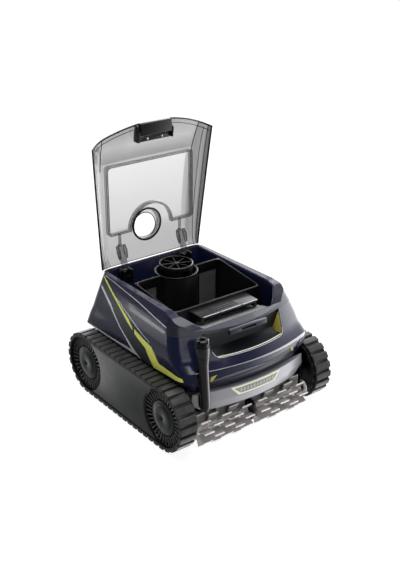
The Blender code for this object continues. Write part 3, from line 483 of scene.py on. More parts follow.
def turned(profile, axis, centre, steps=64):
    """A closed (radius, distance) profile turned about an axis through centre."""
    shape = bmesh.new()
    rings = []
    for i in range(steps):
        angle = 2 * pi * i / steps
        rings.append([shape.verts.new((r * cos(angle), r * sin(angle), h)) for r, h in profile])
    count = len(profile)
    for i in range(steps):
        ring, following = rings[i], rings[(i + 1) % steps]
        for j in range(count):
            k = (j + 1) % count
            if profile[j][0] == 0.0 and profile[k][0] == 0.0:
                continue
            shape.faces.new((ring[j], following[j], following[k], ring[k]))
    bmesh.ops.transform(shape, matrix=Matrix.Translation(centre) @ LAID[axis], verts=shape.verts)
    bmesh.ops.remove_doubles(shape, verts=shape.verts, dist=0.000005)
    bmesh.ops.dissolve_degenerate(shape, dist=0.0000001, edges=shape.edges)
    bmesh.ops.recalc_face_normals(shape, faces=shape.faces)
    return from_bmesh(shape)


def tube(points, radius, closed=False, sides=10):
    """A round bar along points."""
    curve = bpy.data.curves.new("bar", "CURVE")
    curve.dimensions = "3D"
    curve.bevel_depth = radius
    curve.bevel_resolution = max(1, (sides - 4) // 2)
    curve.use_fill_caps = not closed
    line = curve.splines.new("POLY")
    line.points.add(len(points) - 1)
    for point, where in zip(line.points, points):
        point.co = (*where, 1.0)
    line.use_cyclic_u = closed
    source = bpy.data.objects.new("bar", curve)
    bpy.context.scene.collection.objects.link(source)
    bpy.context.view_layer.update()
    mesh = bpy.data.meshes.new_from_object(source.evaluated_get(bpy.context.evaluated_depsgraph_get()))
    bpy.data.objects.remove(source)
    item = bpy.data.objects.new("bar", mesh)
    bpy.context.scene.collection.objects.link(item)
    return outward(item)


def joined(*items):
    """Several meshes as one piece; they are used up."""
    shape = bmesh.new()
    for item in items:
        shape.from_mesh(item.data)
        bpy.data.objects.remove(item)
    return from_bmesh(shape)


def on_its_side(item, hand):
    """A piece made for the right, or its mirror shape where the hand is -1."""
    if hand > 0:
        return item
    shape = bmesh.new()
    shape.from_mesh(item.data)
    bpy.data.objects.remove(item)
    bmesh.ops.scale(shape, vec=(-1, 1, 1), verts=shape.verts)
    bmesh.ops.recalc_face_normals(shape, faces=shape.faces)
    return from_bmesh(shape)


def sheet(rows, out=True):
    """Rows of points joined into one sheet of squares."""
    shape = bmesh.new()
    rows = [[shape.verts.new(point) for point in row] for row in rows]
    for a, b in zip(rows, rows[1:]):
        for j in range(len(a) - 1):
            shape.faces.new((a[j], b[j], b[j + 1], a[j + 1]))
    if out:
        bmesh.ops.recalc_face_normals(shape, faces=shape.faces)
    return from_bmesh(shape)


def arc(centre, radius, start, end, steps):
    """Points along an arc, its ends given in degrees."""
    angles = [radians(start + (end - start) * i / steps) for i in range(steps + 1)]
    return [(centre[0] + radius * cos(a), centre[1] + radius * sin(a)) for a in angles]


def bend(before, corner, after, steps=6):
    """A smooth curve from one point to another, pulled towards a corner."""
    points = []
    for i in range(steps + 1):
        t = i / steps
        points.append(tuple((1 - t) ** 2 * a + 2 * t * (1 - t) * b + t * t * c
                            for a, b, c in zip(before, corner, after)))
    return points


def softened(outline, radius, steps=4):
    """A closed flat outline with each corner rounded off."""
    points = []
    count = len(outline)
    for i, corner in enumerate(outline):
        here, before, after = Vector(corner), Vector(outline[i - 1]), Vector(outline[(i + 1) % count])
        reach_in = min(radius, (before - here).length * 0.45)
        reach_out = min(radius, (after - here).length * 0.45)
        points += bend(here + (before - here).normalized() * reach_in, here,
                       here + (after - here).normalized() * reach_out, steps)
    return [tuple(point) for point in points]


def refined(node, name, material, body, edge=0.0006, smooth=35.0):
    """A CAD node's shape, merged, with its sharp edges rounded; it stands for the node."""
    shape = bmesh.new()
    shape.from_mesh(frame["nodes"][node].data)
    bmesh.ops.remove_doubles(shape, verts=shape.verts, dist=0.000005)
    bmesh.ops.dissolve_limit(shape, angle_limit=radians(0.5), verts=shape.verts, edges=shape.edges)
    item = from_bmesh(shape)
    if edge:
        rounded_edges(item, edge)
    return place(item, name, material, body, (node,), smooth)


# Geometry Nodes recipes

class Recipe:
    """A Geometry Nodes tree with named inputs, ending in Realize Instances and Set Material."""

    def __init__(self, name):
        self.tree = bpy.data.node_groups.new(name, "GeometryNodeTree")
        self.ids = {}
        self.tree.interface.new_socket("Geometry", in_out="INPUT", socket_type="NodeSocketGeometry")
        self.tree.interface.new_socket("Geometry", in_out="OUTPUT", socket_type="NodeSocketGeometry")
        self.start = self.add("NodeGroupInput")
        self.end = self.add("NodeGroupOutput")

    def takes(self, **sockets):
        """Adds named inputs of these kinds."""
        for label, kind in sockets.items():
            name = label.replace("_", " ").capitalize()
            socket = self.tree.interface.new_socket(name, in_out="INPUT", socket_type="NodeSocket" + kind)
            self.ids[label] = (socket.identifier, name)

    def given(self, label):
        """The socket inside the tree that brings a named input."""
        return self.start.outputs[self.ids[label][1]]

    def add(self, kind, **settings):
        node = self.tree.nodes.new(kind)
        for key, value in settings.items():
            setattr(node, key, value)
        return node

    def link(self, source, target):
        self.tree.links.new(source, target)

    def copies(self, points, rotation=None):
        """Sets the Copy object on each point and closes the tree."""
        source = self.add("GeometryNodeObjectInfo")
        self.link(self.given("copy"), source.inputs["Object"])
        spread = self.add("GeometryNodeInstanceOnPoints")
        self.link(points, spread.inputs["Points"])
        self.link(source.outputs["Geometry"], spread.inputs["Instance"])
        if rotation is not None:
            self.link(rotation, spread.inputs["Rotation"])
        real = self.add("GeometryNodeRealizeInstances")
        self.link(spread.outputs["Instances"], real.inputs["Geometry"])
        coat = self.add("GeometryNodeSetMaterial")
        self.link(real.outputs["Geometry"], coat.inputs["Geometry"])
        self.link(self.given("finish"), coat.inputs["Material"])
        self.link(coat.outputs["Geometry"], self.end.inputs["Geometry"])

    def make(self, base=None, **values):
        """A plain mesh from this recipe with these inputs; the copied object is used up."""
        item = base
        if item is None:
            item = bpy.data.objects.new("made", bpy.data.meshes.new("made"))
            bpy.context.scene.collection.objects.link(item)
        change = item.modifiers.new("recipe", "NODES")
        change.node_group = self.tree
        for label, value in values.items():
            change[self.ids[label][0]] = value
        baked(item)
        bpy.data.objects.remove(values["copy"])
        return item


def ring_recipe():
    """Copies turned about an axis through a centre, evenly spread over a full turn."""
    recipe = Recipe("copies_round_an_axis")
    recipe.takes(copies="Int", centre="Vector", axis="Vector", first_angle="Float", copy="Object",
                 finish="Material")
    points = recipe.add("GeometryNodePoints")
    recipe.link(recipe.given("copies"), points.inputs["Count"])
    recipe.link(recipe.given("centre"), points.inputs["Position"])
    index = recipe.add("GeometryNodeInputIndex")
    share = recipe.add("ShaderNodeMath", operation="DIVIDE")
    recipe.link(index.outputs["Index"], share.inputs[0])
    recipe.link(recipe.given("copies"), share.inputs[1])
    angle = recipe.add("ShaderNodeMath", operation="MULTIPLY_ADD")
    angle.inputs[1].default_value = 2 * pi
    recipe.link(share.outputs[0], angle.inputs[0])
    recipe.link(recipe.given("first_angle"), angle.inputs[2])
    turn = recipe.add("FunctionNodeAxisAngleToRotation")
    recipe.link(recipe.given("axis"), turn.inputs["Axis"])
    recipe.link(angle.outputs[0], turn.inputs["Angle"])
    recipe.copies(points.outputs[0], turn.outputs["Rotation"])
    return recipe


def row_recipe():
    """Copies in a straight row."""
    recipe = Recipe("copies_in_a_row")
    recipe.takes(copies="Int", first="Vector", step="Vector", copy="Object", finish="Material")
    line = recipe.add("GeometryNodeMeshLine", mode="OFFSET")
    recipe.link(recipe.given("copies"), line.inputs["Count"])
    recipe.link(recipe.given("first"), line.inputs["Start Location"])
    recipe.link(recipe.given("step"), line.inputs["Offset"])
    recipe.copies(line.outputs["Mesh"])
    return recipe


def path_recipe():
    """Copies evenly along a closed path, their Y along it and their X kept."""
    recipe = Recipe("copies_along_a_path")
    recipe.takes(copies="Int", copy="Object", finish="Material")
    curve = recipe.add("GeometryNodeMeshToCurve")
    recipe.link(recipe.start.outputs["Geometry"], curve.inputs["Mesh"])
    even = recipe.add("GeometryNodeResampleCurve")
    recipe.link(curve.outputs["Curve"], even.inputs["Curve"])
    recipe.link(recipe.given("copies"), even.inputs["Count"])
    tangent = recipe.add("GeometryNodeInputTangent")
    turn = recipe.add("FunctionNodeAlignRotationToVector", axis="Y", pivot_axis="X")
    recipe.link(tangent.outputs["Tangent"], turn.inputs["Vector"])
    recipe.copies(even.outputs["Curve"], turn.outputs["Rotation"])
    return recipe


RING, ROW, PATH = ring_recipe(), row_recipe(), path_recipe()


# The painted body

def level_at(z, levels):
    """The body's outline numbers at any height."""
    for upper, lower in zip(levels, levels[1:]):
        if z >= lower[0]:
            share = min(1.0, (upper[0] - z) / (upper[0] - lower[0]))
            return tuple(a + (b - a) * share for a, b in zip(upper, lower))
    return levels[-1]


def half_outline(level, inset=0.0):
    """The right half of the outline at one level, from the back to the front, in many points."""
    width, flare, back, front, bow = level[1:]
    back -= inset
    front += inset
    round_back, round_front = 0.022, 0.020

    def side(y):
        return width - inset + flare * (0.18 - y)

    def nose(x):
        return front + bow * x * x

    corner_y = nose(width)
    for _ in range(8):
        corner_x = side(corner_y)
        corner_y = nose(corner_x)
    points = [(side(back) * share, back) for share in (0.0, 0.2, 0.4, 0.6, 0.75)]
    points += bend((side(back) - round_back, back), (side(back), back),
                   (side(back - round_back), back - round_back), 8)
    run = corner_y + round_front - back + round_back
    for i in range(1, 28):
        y = back - round_back + run * i / 28
        points.append((side(y), y))
    points += bend((side(corner_y + round_front), corner_y + round_front), (corner_x, corner_y),
                   (corner_x - round_front, nose(corner_x - round_front)), 10)
    for i in range(19, -1, -1):
        x = (corner_x - round_front) * i / 20
        points.append((x, nose(x)))
    return points


def body_solid(levels, inset=0.0, top=None, bottom=None, step=0.006):
    """The body's outlines joined into one smooth solid."""
    levels = [list(level) for level in levels]
    if top is not None:
        levels[0][0] = top
    if bottom is not None:
        levels[-1][0] = bottom
    heights = []
    for upper, lower in zip(levels, levels[1:]):
        rows = max(1, round((upper[0] - lower[0]) / step))
        heights += [upper[0] + (lower[0] - upper[0]) * i / rows for i in range(rows)]
    heights.append(levels[-1][0])
    shape = bmesh.new()
    rings = []
    for height in heights:
        right = half_outline(level_at(height, levels), inset)
        left = [(-x, y) for x, y in reversed(right[1:-1])]
        rings.append([shape.verts.new((x, y, height)) for x, y in right + left])
    count = len(rings[0])
    for upper, lower in zip(rings, rings[1:]):
        for i in range(count):
            j = (i + 1) % count
            shape.faces.new((upper[i], upper[j], lower[j], lower[i]))
    shape.faces.new(rings[0])
    shape.faces.new(rings[-1])
    bmesh.ops.triangulate(shape, faces=shape.faces)
    bmesh.ops.recalc_face_normals(shape, faces=shape.faces)
    return from_bmesh(shape)


def nose_cutter(drop=0.0):
    """All that stands above the slope at the front of the rim."""
    line = [(y, z - drop) for y, z in NOSE]
    return prism(line + [(-0.250, 0.330), (line[0][0] + drop, 0.330)], "X", -0.25, 0.25)


def bay_outline():
    """The opening of the bay, seen from above, its front corners cut."""
    half = [(BAY_X, BAY_REAR), (BAY_X, BAY_CORNER[1]),
            ((BAY_X + BAY_CORNER[0]) / 2, (BAY_CORNER[1] + BAY_FRONT) / 2 - 0.006),
            (BAY_CORNER[0], BAY_FRONT)]
    return [(-x, y) for x, y in reversed(half)] + half


def painted_shell(levels, low_y, high_y, low_z, high_z):
    """The part of the painted skin inside a box, open underneath."""
    item = body_solid(levels)
    raised = []
    for height, *rest in levels:
        at_slot = abs(height - SLOT_TOP) < 0.001
        raised.append((height + (WALL if at_slot else 0.0), *rest))
    hollow = body_solid(raised, WALL, levels[0][0] - WALL, levels[-1][0] - 0.02, 0.03)
    combine(hollow, nose_cutter(WALL))
    combine(item, hollow)
    combine(item, nose_cutter())
    combine(item, prism(softened(bay_outline(), 0.006), "Z", 0.20, 0.32))
    combine(item, block((-0.3, low_y, low_z), (0.3, high_y, high_z)), "INTERSECT")
    return item


def post_channel(item):
    """Cuts the room for the corner post."""
    beyond = (POST_TOP - POST_BOTTOM).normalized() * 0.03
    return combine(item, rod(POST_BOTTOM - beyond, POST_TOP + beyond, POST_RADIUS + 0.0036, 40))


def mouth_outline():
    """The grip opening in the front, seen from the front, wider at the top."""
    return softened([(-MOUTH_TOP_HALF, MOUTH_TOP), (-MOUTH_LOW_HALF, MOUTH_LOW),
                     (MOUTH_LOW_HALF, MOUTH_LOW), (MOUTH_TOP_HALF, MOUTH_TOP)], 0.013, 6)


KNOWN_OUTLINES = {}


def outline_at(z, levels):
    """The half outline at a height, kept for the next time it is wanted."""
    key = (round(z, 5), tuple(levels))
    if key not in KNOWN_OUTLINES:
        KNOWN_OUTLINES[key] = half_outline(level_at(z, levels))
    return KNOWN_OUTLINES[key]


def side_x(y, z):
    """How far the skin stands out at the side, at a length and height."""
    points = outline_at(z, LEVELS)[5:]
    for (x0, y0), (x1, y1) in zip(points, points[1:]):
        if y1 <= y <= y0 and y0 > y1:
            return x0 + (x1 - x0) * (y0 - y) / (y0 - y1)
    return points[0][0]


def front_y(x, z, levels=LEVELS):
    """Where the skin's front is at a width and height."""
    points = outline_at(z, levels)[30:]
    for (x0, y0), (x1, y1) in zip(points, points[1:]):
        if x1 <= abs(x) <= x0 and x0 > x1:
            return y0 + (y1 - y0) * (x0 - abs(x)) / (x0 - x1)
    return points[0][1]


def on_side(hand):
    """Turns a length, a height and how far it stands proud into a point on one side."""
    return lambda y, z, proud: (hand * (side_x(y, z) + proud), y, z)


def on_front(levels):
    """Turns a width, a height and how far it stands proud into a point on the front."""
    return lambda x, z, proud: (x, front_y(x, z, levels) - proud, z)


def resampled(line, step):
    """A flat polyline with points no further apart than a step."""
    points = [line[0]]
    for start, end in zip(line, line[1:]):
        start, end = Vector(start), Vector(end)
        count = max(1, int((end - start).length / step + 0.5))
        points += [tuple(start.lerp(end, i / count)) for i in range(1, count + 1)]
    return points


def evenly(line, count):
    """Points at even distances along a flat line."""
    lengths = [0.0]
    for a, b in zip(line, line[1:]):
        lengths.append(lengths[-1] + (Vector(b) - Vector(a)).length)
    points = []
    for i in range(count + 1):
        want = lengths[-1] * i / count
        k = max(j for j in range(len(lengths) - 1) if lengths[j] <= want + 1e-9)
        share = (want - lengths[k]) / max(lengths[k + 1] - lengths[k], 1e-9)
        points.append(Vector(line[k]).lerp(Vector(line[k + 1]), min(1.0, share)))
    return points


def ribbon(upper, lower, on_skin, proud, sunk=0.0008, across=4, count=60):
    """A thin inlay that follows the skin between an upper and a lower line."""
    upper, lower = evenly(upper, count), evenly(lower, count)
    shape = bmesh.new()
    sheets = []
    for offset in (proud, -sunk):
        sheets.append([[shape.verts.new(on_skin(*a.lerp(b, j / across), offset)) for j in range(across + 1)]
                       for a, b in zip(upper, lower)])
    top, under = sheets
    for i in range(count):
        for j in range(across):
            shape.faces.new((top[i][j], top[i + 1][j], top[i + 1][j + 1], top[i][j + 1]))
            shape.faces.new((under[i][j], under[i][j + 1], under[i + 1][j + 1], under[i + 1][j]))
        for j in (0, across):
            shape.faces.new((top[i][j], under[i][j], under[i + 1][j], top[i + 1][j]))
    for i in (0, count):
        for j in range(across):
            shape.faces.new((top[i][j], top[i][j + 1], under[i][j + 1], under[i][j]))
    bmesh.ops.recalc_face_normals(shape, faces=shape.faces)
    return from_bmesh(shape)


def build_shells():
    """The painted skins of the body, the bezel, the fascia and the bumper."""
    place(painted_shell(LEVELS, SPLIT_Y, 0.25, 0.10, 0.30), "body_skin", NAVY,
          replaces=("body_shell",), smooth=24)
    bezel = painted_shell(LEVELS, -0.25, SPLIT_Y - GAP, BEZEL_Z + GAP, 0.30)
    place(post_channel(bezel), "bezel_skin", BEZEL, replaces=("front_bezel",),
          smooth=24)
    fascia = painted_shell(FRONT_LEVELS, -0.25, SPLIT_Y - GAP, 0.10, BEZEL_Z)
    combine(fascia, prism(mouth_outline(), "Y", -0.26, -0.130))
    place(post_channel(fascia), "fascia_skin", NAVY, replaces=("front_fascia",),
          smooth=24)
    bumper = body_solid(BUMPER_LEVELS, step=0.004)
    combine(bumper, body_solid(BUMPER_LEVELS, WALL, BUMPER_LEVELS[0][0] - WALL, 0.080, 0.02))
    combine(bumper, block((-0.3, -0.30, 0.05), (0.3, -0.190, 0.20)), "INTERSECT")
    post_channel(bumper)
    place(bumper, "bumper_skin", SILVER, replaces=("bumper_bar",), smooth=30)


# The lines of each side, from the back to the front: length and height
STRIPE_THIN = ([(0.1654, 0.2791), (0.1462, 0.2721), (0.0763, 0.2429), (0.0333, 0.2262),
                (0.0121, 0.2151)],
               [(0.1656, 0.2785), (0.1500, 0.2709), (0.0840, 0.2418), (0.0400, 0.2225),
                (0.0095, 0.2088)])
STRIPE_THICK = ([(0.0020, 0.2142), (-0.0277, 0.2075), (-0.0693, 0.2012), (-0.0986, 0.1737),
                 (-0.1790, 0.1713)],
                [(-0.0003, 0.2043), (-0.0463, 0.1894), (-0.0567, 0.1777), (-0.0808, 0.1568),
                 (-0.1815, 0.1632)])
# Light strips painted as highlights on bevels and creases: this line, the skirt line, the rim crease and the
# top line.
SIDE_HIGHLIGHT = ([(0.1640, 0.2590), (0.1127, 0.2330), (0.0627, 0.1987), (0.0312, 0.1834),
                (-0.0055, 0.1655), (-0.0300, 0.1566)],
               [(0.1640, 0.2530), (0.1140, 0.2270), (0.0640, 0.1962), (0.0330, 0.1805),
                (0.0080, 0.1640), (-0.0240, 0.1562)])
SKIRT_LINE = ([(0.1850, 0.1582), (0.0898, 0.1590), (-0.0021, 0.1640)],
              [(0.1850, 0.1563), (0.0898, 0.1563), (-0.0121, 0.1580)])
RIM_CREASE = ([(0.1600, 0.2825), (0.0113, 0.2732), (-0.1102, 0.2617)],
              [(0.1600, 0.2815), (0.0113, 0.2718), (-0.1102, 0.2600)])
# Painted shade: a dark strip standing for the shade in the rim's recessed groove.
RIM_GROOVE = ([(0.1450, 0.2832), (0.0113, 0.2790), (-0.1075, 0.2730)],
              [(0.1450, 0.2828), (0.0113, 0.2762), (-0.1075, 0.2655)])
TOP_LINE = ([(0.0947, 0.2526), (0.0201, 0.2304), (-0.0208, 0.2196), (-0.0600, 0.2085)],
            [(0.0947, 0.2514), (0.0201, 0.2286), (-0.0208, 0.2176), (-0.0600, 0.2075)])


def build_side_lines():
    """The inlays along both sides, with light strips painted as highlights on bevels and creases and a dark
    strip painted as shade in the rim's groove.
    """
    band = (STRIPE_THIN[1] + STRIPE_THICK[1][1:4], SIDE_HIGHLIGHT[0] + [(-0.0500, 0.1565)])
    rows = [("stripe_thin", STRIPE_THIN, LIME, 0.0011, "lime_yellow"),
            ("stripe_thick", STRIPE_THICK, LIME, 0.0011, "lime_yellow"),
            # Painted highlight: the three rows below and the top line are light strips standing for
            # highlights on the skin.
            ("silver_line", SIDE_HIGHLIGHT, EDGE_HIGHLIGHT, 0.0010, "silver_paint"),
            ("skirt_line", SKIRT_LINE, EDGE_HIGHLIGHT, 0.0012, "silver_paint"),
            ("rim_crease", RIM_CREASE, EDGE_HIGHLIGHT, 0.0006, "silver_paint"),
            # Painted shade in the rim's groove.
            ("rim_groove", RIM_GROOVE, BAY_NAVY, 0.0003, "navy_gloss"),
            ("top_line", TOP_LINE, EDGE_HIGHLIGHT, 0.0006, "silver_paint"),
            ("side_band", band, BAND, 0.0004, "graphite_plastic")]
    for hand, side in ((-1, "left"), (1, "right")):
        for label, lines, material, proud, slot in rows:
            inlay = ribbon(*lines, on_side(hand), proud)
            stands_for = ("side_stripe_" + side,) if label == "stripe_thick" else ()
            place(inlay, label + "_" + side, material, replaces=stands_for)


def run_of(first, step, count):
    """Evenly spaced values."""
    return [first + step * i for i in range(count)]


def build_front_lines():
    """The silver band under the crease, a painted highlight that widens to the right, and the slot's painted
    shade, lens, sill, wedges and ends.
    """
    skin = on_front(FRONT_LEVELS)
    # Painted highlight: a silver strip under the crease, thin at the left and widening to the right where
    # the light falls.
    xs = run_of(-0.150, 0.312 / 24, 25)
    widths = [0.0010 + 0.0075 * max(0.0, (i - 6) / 18) ** 1.3 for i in range(25)]
    band = ([(x, CREASE_Z) for x in xs], [(x, CREASE_Z - width) for x, width in zip(xs, widths)])
    place(ribbon(*band, skin, 0.0008, count=80), "crease_band", SILVER)
    # Painted shade: a dark strip above the slot's step, taller towards the right.
    wide = run_of(-0.125, 0.0100, 25)
    shade = ([(x, 0.1560 + 0.0100 * (x + 0.125) / 0.24) for x in wide], [(x, 0.1478) for x in wide])
    place(ribbon(*shade, skin, 0.0004, count=80), "slot_shade", POCKET)
    swell = [sin(pi * i / 20) for i in range(21)]
    climb = run_of(0.1545, 0.0050 / 20, 21)
    xs = run_of(-0.128, 0.0085, 21)
    lens = ([(x, z + 0.0068 * bulge) for x, z, bulge in zip(xs, climb, swell)],
            [(x, z + 0.0010 * bulge) for x, z, bulge in zip(xs, climb, swell)])
    place(ribbon(*lens, skin, 0.0009, count=60), "slot_lens", LENS)
    xs = run_of(-0.068, 0.0070, 21)
    sill = ([(x, 0.1515 + 0.0030 * bulge) for x, bulge in zip(xs, swell)], [(x, 0.1500) for x in xs])
    place(ribbon(*sill, skin, 0.0011, count=40), "slot_sill", GRAPHITE)
    for hand, side in ((-1, "left"), (1, "right")):
        wedge = ([(0.103 * hand, 0.1700), (0.117 * hand, 0.1660)],
                 [(0.113 * hand, 0.1560), (0.1175 * hand, 0.1550)])
        place(ribbon(*wedge, skin, 0.0012, count=6), "slot_wedge_" + side, OLIVE)
        end = ([(0.132 * hand, 0.1590), (0.148 * hand, 0.1725), (0.163 * hand, 0.1700)],
               [(0.132 * hand, 0.1500), (0.150 * hand, 0.1520), (0.163 * hand, 0.1640)])
        place(ribbon(*end, skin, 0.0012, count=20), "slot_end_" + side, NAVY)


def pocket_scoop():
    """The bottom and the back of the grip pocket."""
    rows = []
    for x in run_of(-0.104, 0.208 / 40, 41):
        reach = front_y(x, 0.1985) + 0.0032
        line = [(reach, 0.1962), (reach + 0.012, 0.1975), (-0.170, 0.2010), (-0.1610, 0.2070),
                (-0.1590, 0.2160), (-0.1585, 0.2300), (-0.1585, POCKET_TOP)]
        rows.append([(x, y, z) for y, z in line])
    return outward(thickened(sheet(rows), 0.0015, 0.0))


def mouth_cheek(hand):
    """One end wall of the grip pocket, leaning in from the mouth's edge."""
    lean = (MOUTH_TOP_HALF - MOUTH_LOW_HALF) / (MOUTH_TOP - MOUTH_LOW)
    rows = []
    for z in run_of(0.2000, 0.0440 / 10, 11):
        edge = MOUTH_LOW_HALF + 0.0005 + lean * (z - MOUTH_LOW)
        start = front_y(edge, z) + 0.0022
        run = [start + (-0.1612 - start) * j / 8 for j in range(9)]
        rows.append([(hand * (edge - 0.22 * (y - start)), y, z) for y in run])
    return outward(thickened(sheet(rows), 0.0010))


def build_mouth():
    """The grip pocket behind the mouth with its cheeks, lip and outline."""
    low = sorted((point for point in mouth_outline() if point[1] < POCKET_TOP), key=lambda point: point[0])
    edge = [(x, front_y(x, z) - 0.0002, z) for x, z in resampled(low, 0.004)]
    # A light line painted along the mouth's lower edge as its highlight.
    place(tube(edge, 0.0008), "mouth_outline", EDGE_HIGHLIGHT)
    place(pocket_scoop(), "pocket_scoop", POCKET, replaces=("grip_pocket",))
    place(joined(mouth_cheek(-1), mouth_cheek(1)), "mouth_cheeks", OLIVE,
          replaces=("pocket_trim",))
    lip = [(x, front_y(x, 0.2006) + 0.0030, 0.2006) for x in run_of(-0.0900, 0.0045, 41)]
    place(tube(lip, 0.0011), "mouth_lip", PALE)


def build_badge():
    """A plain trapezoid plate with a pale rim and raised bars in place of any mark."""
    skin = on_front(BUMPER_LEVELS)

    def shield(shrink):
        """The trapezoid's top and bottom edge, drawn in."""
        top_half, top = 0.0703 - shrink * 1.15, 0.1281 - shrink * 0.55
        foot_half, foot = 0.0514 - shrink * 0.75, 0.1078 + shrink * 0.55
        return [(-top_half, top), (top_half, top)], [(-foot_half, foot), (foot_half, foot)]

    place(ribbon(*shield(0.0), skin, 0.0010, across=6), "badge_rim", PALE,
          replaces=("badge_plate",))
    place(ribbon(*shield(0.0066), skin, 0.0013, across=6), "badge_field", PLATE)
    bar = block((-0.0020, -0.0006, -0.0036), (0.0020, 0.0006, 0.0036), 0.0004)
    bars = ROW.make(copies=11, first=Vector((-5 * BADGE_STEP, 0, 0)), step=Vector((BADGE_STEP, 0, 0)),
                    copy=bar, finish=BAR)
    for vert in bars.data.vertices:
        middle = BADGE_STEP * round(vert.co.x / BADGE_STEP)
        vert.co.y += front_y(middle, BADGE_Z, BUMPER_LEVELS) - 0.0014
        vert.co.x += 0.15 * vert.co.z
        vert.co.z += BADGE_Z
    place(bars, "badge_bars", BAR)


# Tracks

def stadium(radius, steps):
    """A line round both wheels of one side, at a radius."""
    front = arc((-WHEEL_Y, WHEEL_Z), radius, 90, 270, steps)
    rear = arc((WHEEL_Y, WHEEL_Z), radius, -90, 90, steps)
    return front + rear


def belt_band():
    """The belt's band with a raised edge at each side, swept round the wheels."""
    profile = [(TRACK_IN, 0.0), (TRACK_IN, 0.0046), (TRACK_IN + 0.0012, 0.0058),
               (TRACK_IN + 0.0030, 0.0052), (TRACK_OUT - 0.0030, 0.0052), (TRACK_OUT - 0.0012, 0.0058),
               (TRACK_OUT, 0.0046), (TRACK_OUT, 0.0)]
    shape = bmesh.new()
    rings = []
    for x, height in profile:
        rings.append([shape.verts.new((x, y, z)) for y, z in stadium(BELT_INNER + height, 40)])
    count = len(rings[0])
    for i in range(len(rings)):
        ring, following = rings[i], rings[(i + 1) % len(rings)]
        for j in range(count):
            k = (j + 1) % count
            shape.faces.new((ring[j], ring[k], following[k], following[j]))
    bmesh.ops.recalc_face_normals(shape, faces=shape.faces)
    return from_bmesh(shape)


def belt_lug(length):
    """One flat lug across the belt, its corners chamfered."""
    half = length / 2
    base, crown = 0.0040, CROWN_RADIUS - BELT_INNER
    across = [(-half, base), (-half + 0.0004, crown - 0.0016), (-half + 0.0016, crown - 0.0003),
              (-half * 0.5, crown), (half * 0.5, crown), (half - 0.0016, crown - 0.0003),
              (half - 0.0004, crown - 0.0016), (half, base)]
    item = prism(across, "X", TRACK_IN, TRACK_OUT)
    return rounded_edges(item, 0.0005, 1, 50.0)


def build_belts():
    """Both belts, their lugs spread evenly along the outline."""
    outline = stadium(BELT_INNER, 24)
    length = 4 * WHEEL_Y + 2 * pi * BELT_INNER
    for hand, side in ((-1, "left"), (1, "right")):
        path = bpy.data.meshes.new("path")
        points = [(0.0, y, z) for y, z in reversed(outline)]
        edges = [(i, (i + 1) % len(points)) for i in range(len(points))]
        path.from_pydata(points, edges, [])
        base = bpy.data.objects.new("path", path)
        bpy.context.scene.collection.objects.link(base)
        lugs = PATH.make(base, copies=LUGS, copy=belt_lug(length / LUGS - LUG_GAP), finish=RUBBER)
        # The band takes the darker rubber as painted shade between the lugs.
        place(on_its_side(belt_band(), hand), "belt_band_" + side, GROOVE_SHADE_RUBBER,
              replaces=("track_belt_" + side,))
        place(on_its_side(lugs, hand), "belt_lugs_" + side, RUBBER)


# Radius and distance from the middle of the machine
WHEEL_PROFILE = [(0.0053, 0.1670), (0.0140, 0.1670), (0.0140, 0.1880), (0.0610, 0.1880), (0.0610, 0.1668),
                 (0.0690, 0.1668), (0.0690, 0.1690), (0.0680, 0.1700), (0.0652, 0.1700), (0.0652, 0.2085),
                 (0.0645, 0.2095), (0.0625, 0.2095), (0.0612, 0.2075), (0.0600, 0.2020), (0.0415, 0.1985),
                 (0.0415, 0.1960), (0.0053, 0.1960)]
GEAR_PROFILE = [(0.0053, 0.1605), (0.0335, 0.1605), (0.0335, 0.1655), (0.0140, 0.1655), (0.0140, 0.1675),
                (0.0053, 0.1675)]
CAP_PROFILE = [(0.0, 0.2055), (0.0120, 0.2055), (0.0120, 0.1963), (0.0395, 0.1963), (0.0400, 0.1968),
               (0.0400, 0.2060), (0.0392, 0.2076), (0.0370, 0.2087), (0.0300, 0.2092), (0.0292, 0.2096),
               (0.0284, 0.2109), (0.0270, 0.2114), (0.0200, 0.2116), (0.0074, 0.2114), (0.0060, 0.2108),
               (0.0048, 0.2092), (0.0030, 0.2086), (0.0, 0.2085)]


def fin():
    """One radial fin of a wheel, about the wheel's axis, its length along +Z."""
    outline = [(0.0414, 0.1980), (0.0414, 0.2052), (0.0430, 0.2074), (0.0560, 0.2090), (0.0606, 0.2092),
               (0.0618, 0.2060), (0.0602, 0.2010)]
    item = prism([(x, z) for z, x in outline], "Y", -0.0011, 0.0011)
    return rounded_edges(item, 0.0003, 1, 50.0)


def build_wheels():
    """Four wheels, each with its ring of fins and its hub cap; the front ones carry a gear."""
    for end, y in (("front", -WHEEL_Y), ("rear", WHEEL_Y)):
        for hand, side in ((-1, "left"), (1, "right")):
            where = end + "_" + side
            body = end + "_wheel_" + side
            centre = Vector((0, y, WHEEL_Z))
            wheel = turned(WHEEL_PROFILE, "X", centre, 72)
            if end == "front":
                wheel = joined(wheel, turned(GEAR_PROFILE, "X", centre, 72))
            cap = turned(CAP_PROFILE, "X", centre, 64)
            # The fins take the lighter plastic as painted highlight.
            fins = RING.make(copies=FINS, centre=centre, axis=Vector((1, 0, 0)), first_angle=0.0,
                             copy=fin(), finish=FIN_HIGHLIGHT)
            pieces = [("wheel", wheel, WHEEL, ("wheel_" + where,)), ("wheel_fins", fins, FIN_HIGHLIGHT, ()),
                      ("cap", cap, HUB, ("hub_cap_" + where,))]
            for label, item, material, stands_for in pieces:
                place(on_its_side(item, hand), label + "_disc_" + where, material, body,
                      stands_for, 32)


def build_side_covers():
    for side in ("left", "right"):
        refined("side_cover_" + side, "side_panel_" + side, GRAPHITE, "root", 0.0012)


# Brush

